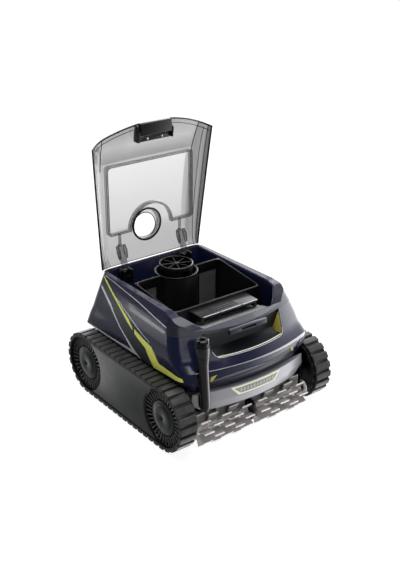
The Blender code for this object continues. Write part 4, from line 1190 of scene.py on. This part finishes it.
def brush_rings(hand):
    """The paddles of one half and their tips, in segments that are turned against each other."""
    pitch = (BRUSH_END - BRUSH_START) / SEGMENTS
    reach = pitch * 0.46
    blades, tips = [], []
    for k in range(SEGMENTS):
        x = BRUSH_START + pitch * (k + 0.5)
        first = radians(360 / PADDLES / 2) if k % 2 else 0.0
        paddle = block((-reach, -0.0011, BRUSH_CORE - 0.001), (reach, 0.0011, BRUSH_TIP - 0.0016), 0.0004, 1)
        edge = block((-reach, -0.0016, BRUSH_TIP - 0.0022), (reach, 0.0016, BRUSH_TIP - 0.0001), 0.0005, 1)
        for copy, where, finish in ((paddle, blades, BLADE), (edge, tips, BLADE_TIP_HIGHLIGHT)):
            where.append(RING.make(copies=PADDLES, centre=Vector((hand * x, BRUSH_Y, BRUSH_Z)),
                                   axis=Vector((1, 0, 0)), first_angle=first, copy=copy, finish=finish))
    return joined(*blades), joined(*tips)


def brush_core():
    """The right half's core, with a shallow groove at each segment's end, and its shaft and gear."""
    pitch = (BRUSH_END - BRUSH_START) / SEGMENTS
    grooves = []
    for k in range(SEGMENTS + 1):
        x = BRUSH_START + pitch * k
        grooves += [(BRUSH_CORE + 0.0012, x + 0.0012), (BRUSH_CORE, x + 0.0022),
                    (BRUSH_CORE, x + pitch - 0.0022)]
    profile = [(0.0, BRUSH_START), (BRUSH_CORE, BRUSH_START)]
    profile += [(r, x) for r, x in grooves if BRUSH_START < x < BRUSH_END]
    profile += [(BRUSH_CORE, BRUSH_END), (0.0048, BRUSH_END), (0.0048, 0.1603), (0.0163, 0.1605),
                (0.0163, 0.1655), (0.0, 0.1655)]
    return turned(profile, "X", Vector((0, BRUSH_Y, BRUSH_Z)), 40)


def build_brushes():
    """Two halves of staggered paddles on a core, with near-white tips painted as highlights."""
    for hand, side in ((-1, "left"), (1, "right")):
        body = "roller_" + side
        blades, tips = brush_rings(hand)
        place(blades, "brush_paddles_" + side, BLADE, body, ("brush_" + side,))
        # The tips carry the painted highlight.
        place(tips, "brush_tips_" + side, BLADE_TIP_HIGHLIGHT, body)
        place(on_its_side(brush_core(), hand), "brush_core_" + side, BLADE_CORE, body)


# Post

def build_post():
    """The round corner post with its collar, and its notched cap."""
    along = POST_TOP - POST_BOTTOM
    length = along.length
    r = POST_RADIUS
    tube_profile = [(0.0, 0.0), (r * 0.40, 0.0002), (r * 0.62, 0.0020), (r * 0.98, 0.0125),
                    (r, 0.0140), (r, 0.0220), (r * 0.965, 0.0226), (r * 0.965, 0.0236), (r, 0.0242),
                    (r, length - 0.062),
                    (r * 1.06, length - 0.056), (r * 1.20, length - 0.046), (r * 1.20, length - 0.0405),
                    (r * 1.12, length - 0.0400), (r * 1.12, length - 0.0388), (r * 1.28, length - 0.0380),
                    (r * 1.38, length - 0.0330), (r * 1.40, length - 0.0160), (r * 0.80, length - 0.0160),
                    (r * 0.80, length - 0.0220), (0.0, length - 0.0220)]
    cap_profile = [(0.0, length - 0.0215), (r * 0.76, length - 0.0215), (r * 0.76, length - 0.0155),
                   (r * 1.30, length - 0.0155), (r * 1.33, length - 0.0148), (r * 1.33, length - 0.0035),
                   (r * 1.26, length - 0.0010), (r * 1.14, length), (r * 0.66, length),
                   (r * 0.62, length - 0.0010), (r * 0.62, length - 0.0090), (0.0, length - 0.0090)]
    turn = Matrix.Translation(POST_BOTTOM) @ along.to_track_quat("Z", "Y").to_matrix().to_4x4()
    stem = turned(tube_profile, "Z", (0, 0, 0), 56)
    stem.data.transform(turn)
    place(stem, "post_tube", POST, replaces=("connector_post",), smooth=32)
    cap = turned(cap_profile, "Z", (0, 0, 0), 56)
    notch = block((r * 0.80, -0.0016, length - 0.0060), (r * 1.7, 0.0016, length + 0.002))
    combine(cap, RING.make(copies=5, centre=Vector((0, 0, 0)), axis=Vector((0, 0, 1)), first_angle=0.3,
                           copy=notch, finish=BLACK))
    cap.data.transform(turn)
    place(cap, "post_crown", BLACK, replaces=("post_cap",), smooth=32)


# Bay, basket and duct

def build_bay():
    """The painted liner of the bay, and the grey shelf under the handle."""
    refined("bay_liner", "bay_skin", BAY_NAVY, "root", 0.0008)
    outline = [(-0.0900, 0.2340), (-0.1512, 0.2494), (-0.1512, 0.2504), (-0.0900, 0.2350)]
    tray = prism(outline, "X", -0.0930, 0.0930)
    place(rounded_edges(tray, 0.0004, 1), "shelf_tray", FLOOR_GREY)


def rim_height(y):
    """The basket's rim climbs towards the back."""
    share = (y - BASKET_LOW.y) / (BASKET_REAR - BASKET_LOW.y)
    return RIM_LOW + (RIM_HIGH - RIM_LOW) * share


def build_basket():
    """The basket with rounded walls, a rolled rim and the tower's ring, and its handle."""
    refined("canister_basket", "basket_walls", BLACK, "canister", 0.0008)
    rear = BASKET_REAR - 0.0012
    reach = sqrt(TOWER_RADIUS ** 2 - (DUCT_Y - rear) ** 2) + 0.001
    flat = softened([(RIM_X, rear), (RIM_X, RIM_Y), (-RIM_X, RIM_Y), (-RIM_X, rear)], 0.014, 6)
    start = max(range(len(flat)), key=lambda i: (flat[i][0] > 0) * flat[i][1] - abs(flat[i][0]) * 0.001)
    flat = flat[start:] + flat[:start]
    path = [(reach, rear)] + flat + [(-reach, rear)]
    points = [(x, y, rim_height(y) - 0.0016) for x, y in resampled(path, 0.006)]
    rim = tube(points, 0.0026, sides=12)
    ring = turned([(TOWER_RADIUS - 0.0040, RIM_TOP - 0.0050), (TOWER_RADIUS + 0.0006, RIM_TOP - 0.0050),
                   (TOWER_RADIUS + 0.0012, RIM_TOP - 0.0035), (TOWER_RADIUS + 0.0008, RIM_TOP - 0.0008),
                   (TOWER_RADIUS - 0.0010, RIM_TOP), (TOWER_RADIUS - 0.0036, RIM_TOP - 0.0008)], "Z",
                  (0, DUCT_Y, 0), 72)
    place(joined(rim, ring), "basket_rim", BLACK_RIM, "canister", smooth=50)
    build_windows()
    build_handle()


def build_windows():
    """Fine mesh in each window: crossed threads over a thin cloth."""
    for side in ("left", "right"):
        low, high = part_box("canister_mesh_" + side)
        middle_y = (low.y + high.y) / 2
        upright = block((-0.00022, -0.00022, 0), (0.00022, 0.00022, high.z - low.z))
        level = block((0, -0.00022, -0.00022), (high.x - low.x, 0.00022, 0.00022))
        columns, rows = 24, 46
        threads = [
            ROW.make(copies=columns, first=Vector((low.x + 0.001, middle_y - 0.0004, low.z)),
                     step=Vector(((high.x - low.x - 0.002) / (columns - 1), 0, 0)), copy=upright,
                     finish=WIRE),
            ROW.make(copies=rows, first=Vector((low.x, middle_y - 0.0006, low.z + 0.001)),
                     step=Vector((0, 0, (high.z - low.z - 0.002) / (rows - 1))), copy=level, finish=WIRE)]
        place(joined(*threads), "window_threads_" + side, WIRE, "canister")
        cloth = block((low.x, middle_y - 0.0001, low.z), (high.x, middle_y + 0.0004, high.z))
        place(cloth, "window_cloth_" + side, VEIL, "canister", ("canister_mesh_" + side,))


def build_handle():
    """The handle: legs and lip, a smooth top plate with three long ribs, and a front edge painted light as
    its highlight.
    """
    low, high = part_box("canister_handle")
    front, back = low.y - 0.0004, high.y + 0.0002
    slab = block((-0.0795, front + 0.0008, high.z - 0.0046), (0.0795, back, high.z + 0.0002), 0.0010)
    legs = [block((x, front + 0.004, 0.2446), (x + 0.0075, back, high.z - 0.0040), 0.0008)
            for x in (-0.0790, 0.0715)]
    place(joined(slab, *legs), "handle_frame", BLACK_RIM, "canister", ("canister_handle",))
    outline = [(-0.080, back), (-0.0785, front + 0.003), (-0.0760, front), (0.0760, front),
               (0.0785, front + 0.003), (0.080, back)]
    plate = rounded_edges(prism(outline, "Z", high.z + 0.0001, high.z + 0.0014), 0.0005, 2, 50)
    place(plate, "handle_plate", HANDLE, "canister")
    rib = block((-0.036, -0.0011, 0), (0.036, 0.0011, 0.0016), 0.0005, 1)
    ribs = ROW.make(copies=3, first=Vector((-0.006, front + 0.014, high.z + 0.0010)),
                    step=Vector((0, 0.0078, 0)), copy=rib, finish=HANDLE)
    place(ribs, "handle_ribs", HANDLE, "canister")
    # Painted highlight: light strips along the top of the front edge.
    edges = [block((a, front - 0.0004, high.z + 0.0004), (b, front + 0.0022, high.z + 0.0020), 0.0003, 1)
             for a, b in ((-0.075, -0.030), (-0.027, 0.030), (0.034, 0.075))]
    place(joined(*edges), "handle_edges", EDGE_HIGHLIGHT, "canister")


def build_duct():
    """The outlet's tube with its rounded lip and the guard of eight spokes."""
    refined("outlet_duct", "duct_tube", BLACK, "root", 0.0, 40)
    outer = DUCT_OUTER
    lip = turned([(outer - 0.0030, DUCT_TOP - 0.0060), (outer + 0.0004, DUCT_TOP - 0.0060),
                  (outer + 0.0010, DUCT_TOP - 0.0030), (outer + 0.0004, DUCT_TOP - 0.0004),
                  (outer - 0.0012, DUCT_TOP + 0.0004), (outer - 0.0028, DUCT_TOP - 0.0004)], "Z",
                 (0, DUCT_Y, 0), 72)
    place(lip, "duct_lip", BLACK_RIM, smooth=50)
    spoke = block((0.003, -0.0008, 0.0), (outer - 0.0031, 0.0008, 0.0030), 0.0003, 1)
    spokes = RING.make(copies=8, centre=Vector((0, DUCT_Y, DUCT_TOP - 0.0045)), axis=Vector((0, 0, 1)),
                       first_angle=radians(22.5), copy=spoke, finish=BLACK_RIM)
    boss = turned([(0.0, DUCT_TOP - 0.0050), (0.0052, DUCT_TOP - 0.0050), (0.0052, DUCT_TOP - 0.0012),
                   (0.0040, DUCT_TOP - 0.0002), (0.0, DUCT_TOP)], "Z", (0, DUCT_Y, 0), 32)
    place(joined(spokes, boss), "guard_spokes", BLACK_RIM, replaces=("outlet_grille",))


# Lid: u runs up from the hinge axis, v runs back from it

def lid_half_width(u):
    return LID_FOOT_HALF + LID_FLARE * (u - LID_START)


# The lid's middle line: u and v
CROWN = [(LID_START, 0.0175), (0.030, 0.0345), (0.060, 0.0425), (0.120, 0.0440), (0.200, 0.0390),
         (0.260, 0.0290), (0.310, 0.0105), (LID_END, -0.0110)]


def crown_at(u):
    """The height of the lid's middle line, smoothed between its points."""
    for k in range(len(CROWN) - 1):
        (u0, v0), (u1, v1) = CROWN[k], CROWN[k + 1]
        if u <= u1 or k == len(CROWN) - 2:
            before = CROWN[max(0, k - 1)]
            after = CROWN[min(len(CROWN) - 1, k + 2)]
            slope0 = (v1 - before[1]) / (u1 - before[0])
            slope1 = (after[1] - v0) / (after[0] - u0)
            t = min(1.0, max(0.0, (u - u0) / (u1 - u0)))
            span = u1 - u0
            return ((2 * t ** 3 - 3 * t ** 2 + 1) * v0 + (t ** 3 - 2 * t ** 2 + t) * span * slope0
                    + (3 * t ** 2 - 2 * t ** 3) * v1 + (t ** 3 - t ** 2) * span * slope1)
    return CROWN[-1][1]


def lid_height(x, u):
    """The skin's v: nearly level in the middle, falling off steeply near the sides."""
    edge = 0.0135 - 0.0750 * (u - LID_START)
    middle = crown_at(u)
    share = min(abs(x) / lid_half_width(u), 1.0)
    if share < SHOULDER:
        fall = 0.13 * (share / SHOULDER) ** 2
    else:
        fall = 0.13 + 0.87 * ((share - SHOULDER) / (1 - SHOULDER)) ** 1.4
    return edge + (middle - edge) * (1 - fall)


def lid_point(x, u, v):
    return Vector((x, HINGE_Y + v, HINGE_Z + u))


def lid_edge(share):
    """Where the lid ends along its length at a share of its half width."""
    width = lid_half_width(LID_END) * abs(share)
    return LID_END - LID_BOW * width * width


def lid_skin():
    """The lid's bowed shell, before anything is cut from it."""
    shares = [i / 20 for i in range(16)] + [0.78, 0.81, 0.84, 0.87, 0.90, 0.93, 0.96, 0.98, 1.0]
    shares = [-share for share in reversed(shares[1:])] + shares
    count = 48
    rows = []
    for row in range(count + 1):
        line = []
        for share in shares:
            u = LID_START + (lid_edge(share) - LID_START) * row / count
            x = share * lid_half_width(u)
            line.append(lid_point(x, u, lid_height(x, u)))
        rows.append(line)
    return thickened(sheet(rows, out=False), 0.0025)


def build_lid():
    """The shell with its outlet hole and the cut below the lever, then all that it carries."""
    item = lid_skin()
    combine(item, rod(lid_point(0, HOLE_U, 0.0), lid_point(0, HOLE_U, 0.1), HOLE_RADIUS, 64))
    combine(item, block(lid_point(-LATCH_HALF, LATCH_U, -0.05), lid_point(LATCH_HALF, 0.36, 0.05)))
    place(item, "lid_glazing", SMOKE, "lid", ("lid_shell",), 45)
    build_lid_edges()
    build_seal_frame()
    build_collar()
    build_clips()
    build_latch()


def lid_line(share_of, low, high, depth, steps=60):
    """Points under the lid's skin at a share of its half width, between two shares of its length."""
    points = []
    for i in range(steps + 1):
        along = low + (high - low) * i / steps
        share = share_of(along)
        u = LID_START + (lid_edge(share) - LID_START) * along
        x = share * lid_half_width(u)
        points.append(lid_point(x, u, lid_height(x, u) - depth))
    return points


def lid_rim_line(hand, first, last, inset, depth, steps=30):
    """Points along the lid's upper edge on one side, between two shares of its half width."""
    points = []
    for i in range(steps + 1):
        share = first + (last - first) * i / steps
        u = lid_edge(share) - inset
        x = hand * share * lid_half_width(u)
        points.append(lid_point(x, u, lid_height(x, u) - depth))
    return points


def build_lid_edges():
    """The thick moulded edge round the lid, and the folds that stiffen its sides and its top."""
    beads = []
    for hand in (-1, 1):
        edge = lid_line(lambda t: hand * 0.992, 0.0, 1.0, 0.0010)
        outer_fold = lid_line(lambda t: hand * (0.955 - 0.010 * t), 0.02, 0.99, 0.0026)
        inner_fold = lid_line(lambda t: hand * (0.905 - 0.015 * t), 0.0, 0.97, 0.0026)
        shoulder = lid_line(lambda t: hand * (0.80 - 0.02 * (1 - t)), 0.74, 0.995, 0.0026)
        beads += [tube(edge, 0.0024), tube(outer_fold, 0.0010, sides=8), tube(inner_fold, 0.0008, sides=8),
                  tube(shoulder, 0.0012, sides=8),
                  tube(lid_rim_line(hand, 0.26, 1.00, 0.0012, 0.0012), 0.0022),
                  tube(lid_rim_line(hand, 0.32, 0.97, 0.0125, 0.0026), 0.0009, sides=8)]
    foot_u = LID_START + 0.001
    foot = []
    for i in range(41):
        x = (i / 20 - 1) * (LID_FOOT_HALF - 0.002)
        foot.append(lid_point(x, foot_u, lid_height(x, foot_u) - 0.0012))
    beads.append(tube(foot, 0.0009))
    place(joined(*beads), "lid_edges", SMOKE_EDGE, "lid", smooth=60)


def seal_outline(inset):
    """The seal frame's line: round its corners and over its notch, drawn in."""
    low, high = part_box("lid_seal_frame")
    wide, bottom, top = high.x - inset, low.z - HINGE_Z + inset, high.z - HINGE_Z - inset
    radius = SEAL_NOTCH + inset
    start = sqrt(max(radius * radius - (bottom - COLLAR_U) ** 2, 0.0))
    line = softened([(start, bottom), (wide, bottom), (wide, top), (-wide, top), (-wide, bottom),
                     (-start, bottom)], 0.010, 5)
    trimmed = [(start, bottom)] + [p for p in line if abs(p[0]) > start or p[1] > bottom + 0.02]
    trimmed.append((-start, bottom))
    rise = arc((0.0, COLLAR_U), radius, 180.0, 0.0, 28)
    return trimmed + [p for p in rise if p[1] > bottom + 0.0005]


def seal_wall(outer, inner, v_from, v_to):
    """A wall between two insets of the seal frame's line."""
    item = prism(seal_outline(outer), "Y", v_from, v_to)
    combine(item, prism(seal_outline(inner), "Y", v_from - 0.01, v_to + 0.01))
    item.data.transform(Matrix.Translation((0, HINGE_Y, HINGE_Z)))
    return item


def build_seal_frame():
    """The frame that seals on the basket: a raised wall with dark lips, round the duct's notch."""
    low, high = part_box("lid_seal_frame")
    v_low, v_high = low.y - HINGE_Y, high.y - HINGE_Y
    place(seal_wall(0.0, 0.0046, v_low, v_high), "seal_wall", SMOKE_DEEP, "lid",
          ("lid_seal_frame",), 40)
    lips = [seal_wall(outer, inner, v_low - 0.0004, v_low + 0.0008)
            for outer, inner in ((-0.0003, 0.0006), (0.0038, 0.0048))]
    place(joined(*lips), "seal_lip", SMOKE_EDGE, "lid", (), 40)


def build_collar():
    """The short funnel round the outlet hole."""
    profile = [(0.0372, 0.0290), (0.0410, 0.0290), (0.0410, 0.0345), (0.0360, 0.0400), (0.0332, 0.0400),
               (0.0340, 0.0375), (0.0372, 0.0340)]
    collar = turned(profile, "Y", lid_point(0, COLLAR_U, 0), 64)
    lip = turned([(0.0368, 0.0286), (0.0414, 0.0286), (0.0414, 0.0298), (0.0368, 0.0298)], "Y",
                 lid_point(0, COLLAR_U, 0), 64)
    place(collar, "collar_funnel", SMOKE_DEEP, "lid", ("lid_collar",), 40)
    place(lip, "collar_lip", SMOKE_EDGE, "lid", (), 40)
    hole = []
    for x, u in arc((0.0, HOLE_U), HOLE_RADIUS + 0.0005, 0.0, 360.0, 64)[:-1]:
        hole.append(lid_point(x, u, lid_height(x, u) - 0.0012))
    place(tube(hole, 0.0013, closed=True), "hole_edge", SMOKE_EDGE, "lid", smooth=60)


def build_clips():
    """The two hinge arms: bent leaves on each side of a rib that runs up to the seal frame."""
    bent = [(-0.0010, 0.0310), (0.0060, 0.0260), (0.0150, 0.0400), (0.0180, 0.0560), (0.0100, 0.0600),
            (0.0020, 0.0500)]
    bent = [(HINGE_Y + v, HINGE_Z + u) for v, u in bent]
    straight = [(0.0130, 0.055), (0.0200, 0.055), (0.0200, 0.0870), (0.0130, 0.0870)]
    straight = [(HINGE_Y + v, HINGE_Z + u) for v, u in straight]
    for hand, side in ((-1, "left"), (1, "right")):
        refined("hinge_arm_" + side, "hinge_leaf_" + side, CLIP, "lid", 0.0007)
        middle = CLIP_X * hand
        leaves, rims = [], []
        for x in (middle - 0.0105, middle + 0.0085):
            leaves.append(rounded_edges(prism(bent, "X", x, x + 0.0020), 0.0005, 1))
            rims.append(tube([(x + 0.0010, y, z) for y, z in bent], 0.0011, closed=True, sides=8))
        leaves.append(prism(straight, "X", middle - 0.0022, middle + 0.0022))
        place(joined(*leaves), "hinge_clip_" + side, CLIP, "lid")
        place(joined(*rims), "hinge_clip_rims_" + side, SMOKE_EDGE, "lid")


def build_latch():
    """The lever, the bracket it hangs in and the bracket's two screws."""
    refined("latch_lever", "lever", BLACK, "latch", 0.0022)
    refined("latch_bracket", "lever_bracket", BLACK, "lid", 0.0006)
    cheek = [(-0.0165, 0.3040), (-0.0165, 0.3220), (-0.0100, 0.3420), (0.0010, 0.3420),
             (0.0060, 0.3100), (0.0060, 0.3040)]
    cheek = [(HINGE_Y + v, HINGE_Z + u) for v, u in cheek]
    wings = [rounded_edges(prism(cheek, "X", x, x + 0.0035), 0.0009) for x in (-0.0478, 0.0443)]
    place(joined(*wings), "lever_cheeks", BLACK, "lid")
    for side, hand in (("left", -1), ("right", 1)):
        head = turned([(0.0, -0.0110), (0.0018, -0.0108), (0.0030, -0.0098), (0.0032, -0.0086),
                       (0.0, -0.0083)], "Y", lid_point(0.020 * hand, 0.3095, 0), 28)
        place(head, "screw_head_" + side, STEEL, "lid", ("latch_screw_" + side,))


# The rest of the CAD nodes keep their shape and get a finer surface

def build_hardware():
    """Node, material, body, slot and how far its edges are rounded."""
    rows = [("chassis_tub", BLACK, "root", "black_plastic", 0.001),
            ("latch_catch", BEZEL, "root", "silver_paint", 0.0005),
            ("pump_motor", GRAPHITE, "root", "graphite_plastic", 0.0),
            ("battery_pack", BLUE, "root", "pack_blue", 0.0),
            ("drive_motor_left", GRAPHITE, "root", "graphite_plastic", 0.0),
            ("drive_motor_right", GRAPHITE, "root", "graphite_plastic", 0.0),
            ("track_frame_left", BLACK, "root", "black_plastic", 0.0005),
            ("track_frame_right", BLACK, "root", "black_plastic", 0.0005),
            ("axle_front_left", STEEL, "root", "steel", 0.0),
            ("axle_front_right", STEEL, "root", "steel", 0.0),
            ("brush_centre_support", BLACK, "root", "black_plastic", 0.0008),
            ("hinge_mount_left", BLACK, "root", "black_plastic", 0.0006),
            ("hinge_mount_right", BLACK, "root", "black_plastic", 0.0006),
            ("hinge_pin_left", STEEL, "root", "steel", 0.0),
            ("hinge_pin_right", STEEL, "root", "steel", 0.0),
            ("intake_flap", RUBBER, "flap", "belt_rubber", 0.0),
            ("impeller", GRAPHITE, "rotor", "graphite_plastic", 0.0),
            ("drive_shaft_rear_left", STEEL, "rear_wheel_left", "steel", 0.0),
            ("drive_shaft_rear_right", STEEL, "rear_wheel_right", "steel", 0.0)]
    for node, material, body, slot, edge in rows:
        refined(node, node + "_finished", material, body, edge)


# Stage

def studio_light(tree, shade):
    """The room as the surfaces see it: dim to the left and the front, bright to the right."""
    where = tree.nodes.new("ShaderNodeTexCoord")
    axes = tree.nodes.new("ShaderNodeSeparateXYZ")
    tree.links.new(where.outputs["Generated"], axes.inputs["Vector"])
    sideways = sum_of(tree, "MULTIPLY_ADD", axes.outputs["Y"], 0.55, axes.outputs["X"])
    centred = tree.nodes.new("ShaderNodeMapRange")
    centred.inputs["From Min"].default_value = -1.1
    centred.inputs["From Max"].default_value = 1.1
    tree.links.new(sideways, centred.inputs["Value"])
    room = shades(tree, centred.outputs["Result"], [(0.00, 0.06), (0.36, 0.12), (0.58, 0.55), (0.78, 2.60),
                                                    (1.00, 4.20)], 1.03)
    tree.links.new(room, shade.inputs["Color"])
    upward = tree.nodes.new("ShaderNodeMapRange")
    upward.inputs["From Min"].default_value = 0.10
    upward.inputs["From Max"].default_value = 0.55
    upward.inputs["To Min"].default_value = 1.0
    upward.inputs["To Max"].default_value = 0.22
    tree.links.new(axes.outputs["Z"], upward.inputs["Value"])
    tree.links.new(upward.outputs["Result"], shade.inputs["Strength"])


def build_floor():
    """A plain pale floor that gives the piece its soft shadow."""
    floor = block((-8, -8, -0.02), (8, 8, -0.0006))
    floor.name = "floor"
    material, _, shader = shader_of("pale_floor")
    shader.inputs["Base Color"].default_value = (0.30, 0.30, 0.30, 1)
    shader.inputs["Roughness"].default_value = 1.0
    shader.inputs["Specular IOR Level"].default_value = 0.0
    shader.inputs["Emission Color"].default_value = (1, 1, 1, 1)
    shader.inputs["Emission Strength"].default_value = 0.90
    floor.data.materials.append(material)
    floor.visible_glossy = False


def build_room():
    """A room that looks plain white and lights the piece unevenly."""
    world = bpy.data.worlds.new("studio")
    bpy.context.scene.world = world
    world.use_nodes = True
    tree = world.node_tree
    shade = tree.nodes["Background"]
    studio_light(tree, shade)
    backdrop = tree.nodes.new("ShaderNodeBackground")
    backdrop.inputs["Color"].default_value = (1, 1, 1, 1)
    seen = tree.nodes.new("ShaderNodeLightPath")
    mix = tree.nodes.new("ShaderNodeMixShader")
    tree.links.new(seen.outputs["Is Camera Ray"], mix.inputs["Fac"])
    tree.links.new(shade.outputs["Background"], mix.inputs[1])
    tree.links.new(backdrop.outputs["Background"], mix.inputs[2])
    tree.links.new(mix.outputs["Shader"], tree.nodes["World Output"].inputs["Surface"])


def build_lamps():
    """Soft boxes: name, place, width, height and power."""
    rows = [("overhead", (0.1, -0.1, 2.4), 1.9, 1.9, 50.0),
            ("right_box", (2.2, 0.9, 1.3), 1.1, 1.6, 22.0),
            ("front_box", (-0.3, -2.4, 1.9), 2.0, 0.8, 7.0),
            ("left_box", (-1.09, 1.10, 0.08), 0.30, 0.10, 0.45)]
    for name, spot, wide, tall, power in rows:
        light = bpy.data.lights.new(name, "AREA")
        light.shape = "RECTANGLE"
        light.size = wide
        light.size_y = tall
        light.energy = power
        lamp = bpy.data.objects.new(name, light)
        lamp.location = spot
        lamp.visible_camera = False
        aim = Vector((0, 0, 0.2)) - Vector(spot)
        lamp.rotation_euler = aim.to_track_quat("-Z", "Y").to_euler()
        bpy.context.scene.collection.objects.link(lamp)


def build_camera():
    """The camera, given by its place and the direction it looks in."""
    azimuth, elevation = radians(-37.265), radians(24.373)
    view = Vector((-sin(azimuth) * cos(elevation), cos(azimuth) * cos(elevation), -sin(elevation)))
    lens = bpy.data.cameras.new("camera")
    lens.lens = 62.593
    lens.sensor_width = 36.0
    camera = bpy.data.objects.new("camera", lens)
    camera.location = (-1.24157, -1.64380, 1.20879)
    camera.rotation_euler = view.to_track_quat("-Z", "Y").to_euler()
    bpy.context.scene.collection.objects.link(camera)
    bpy.context.scene.camera = camera


bpy.context.scene.view_settings.view_transform = "Standard"
build_camera()
build_floor()
build_room()
build_lamps()
build_shells()
build_side_lines()
build_front_lines()
build_mouth()
build_badge()
build_belts()
build_wheels()
build_side_covers()
build_brushes()
build_post()
build_bay()
build_basket()
build_duct()
build_lid()
build_hardware()
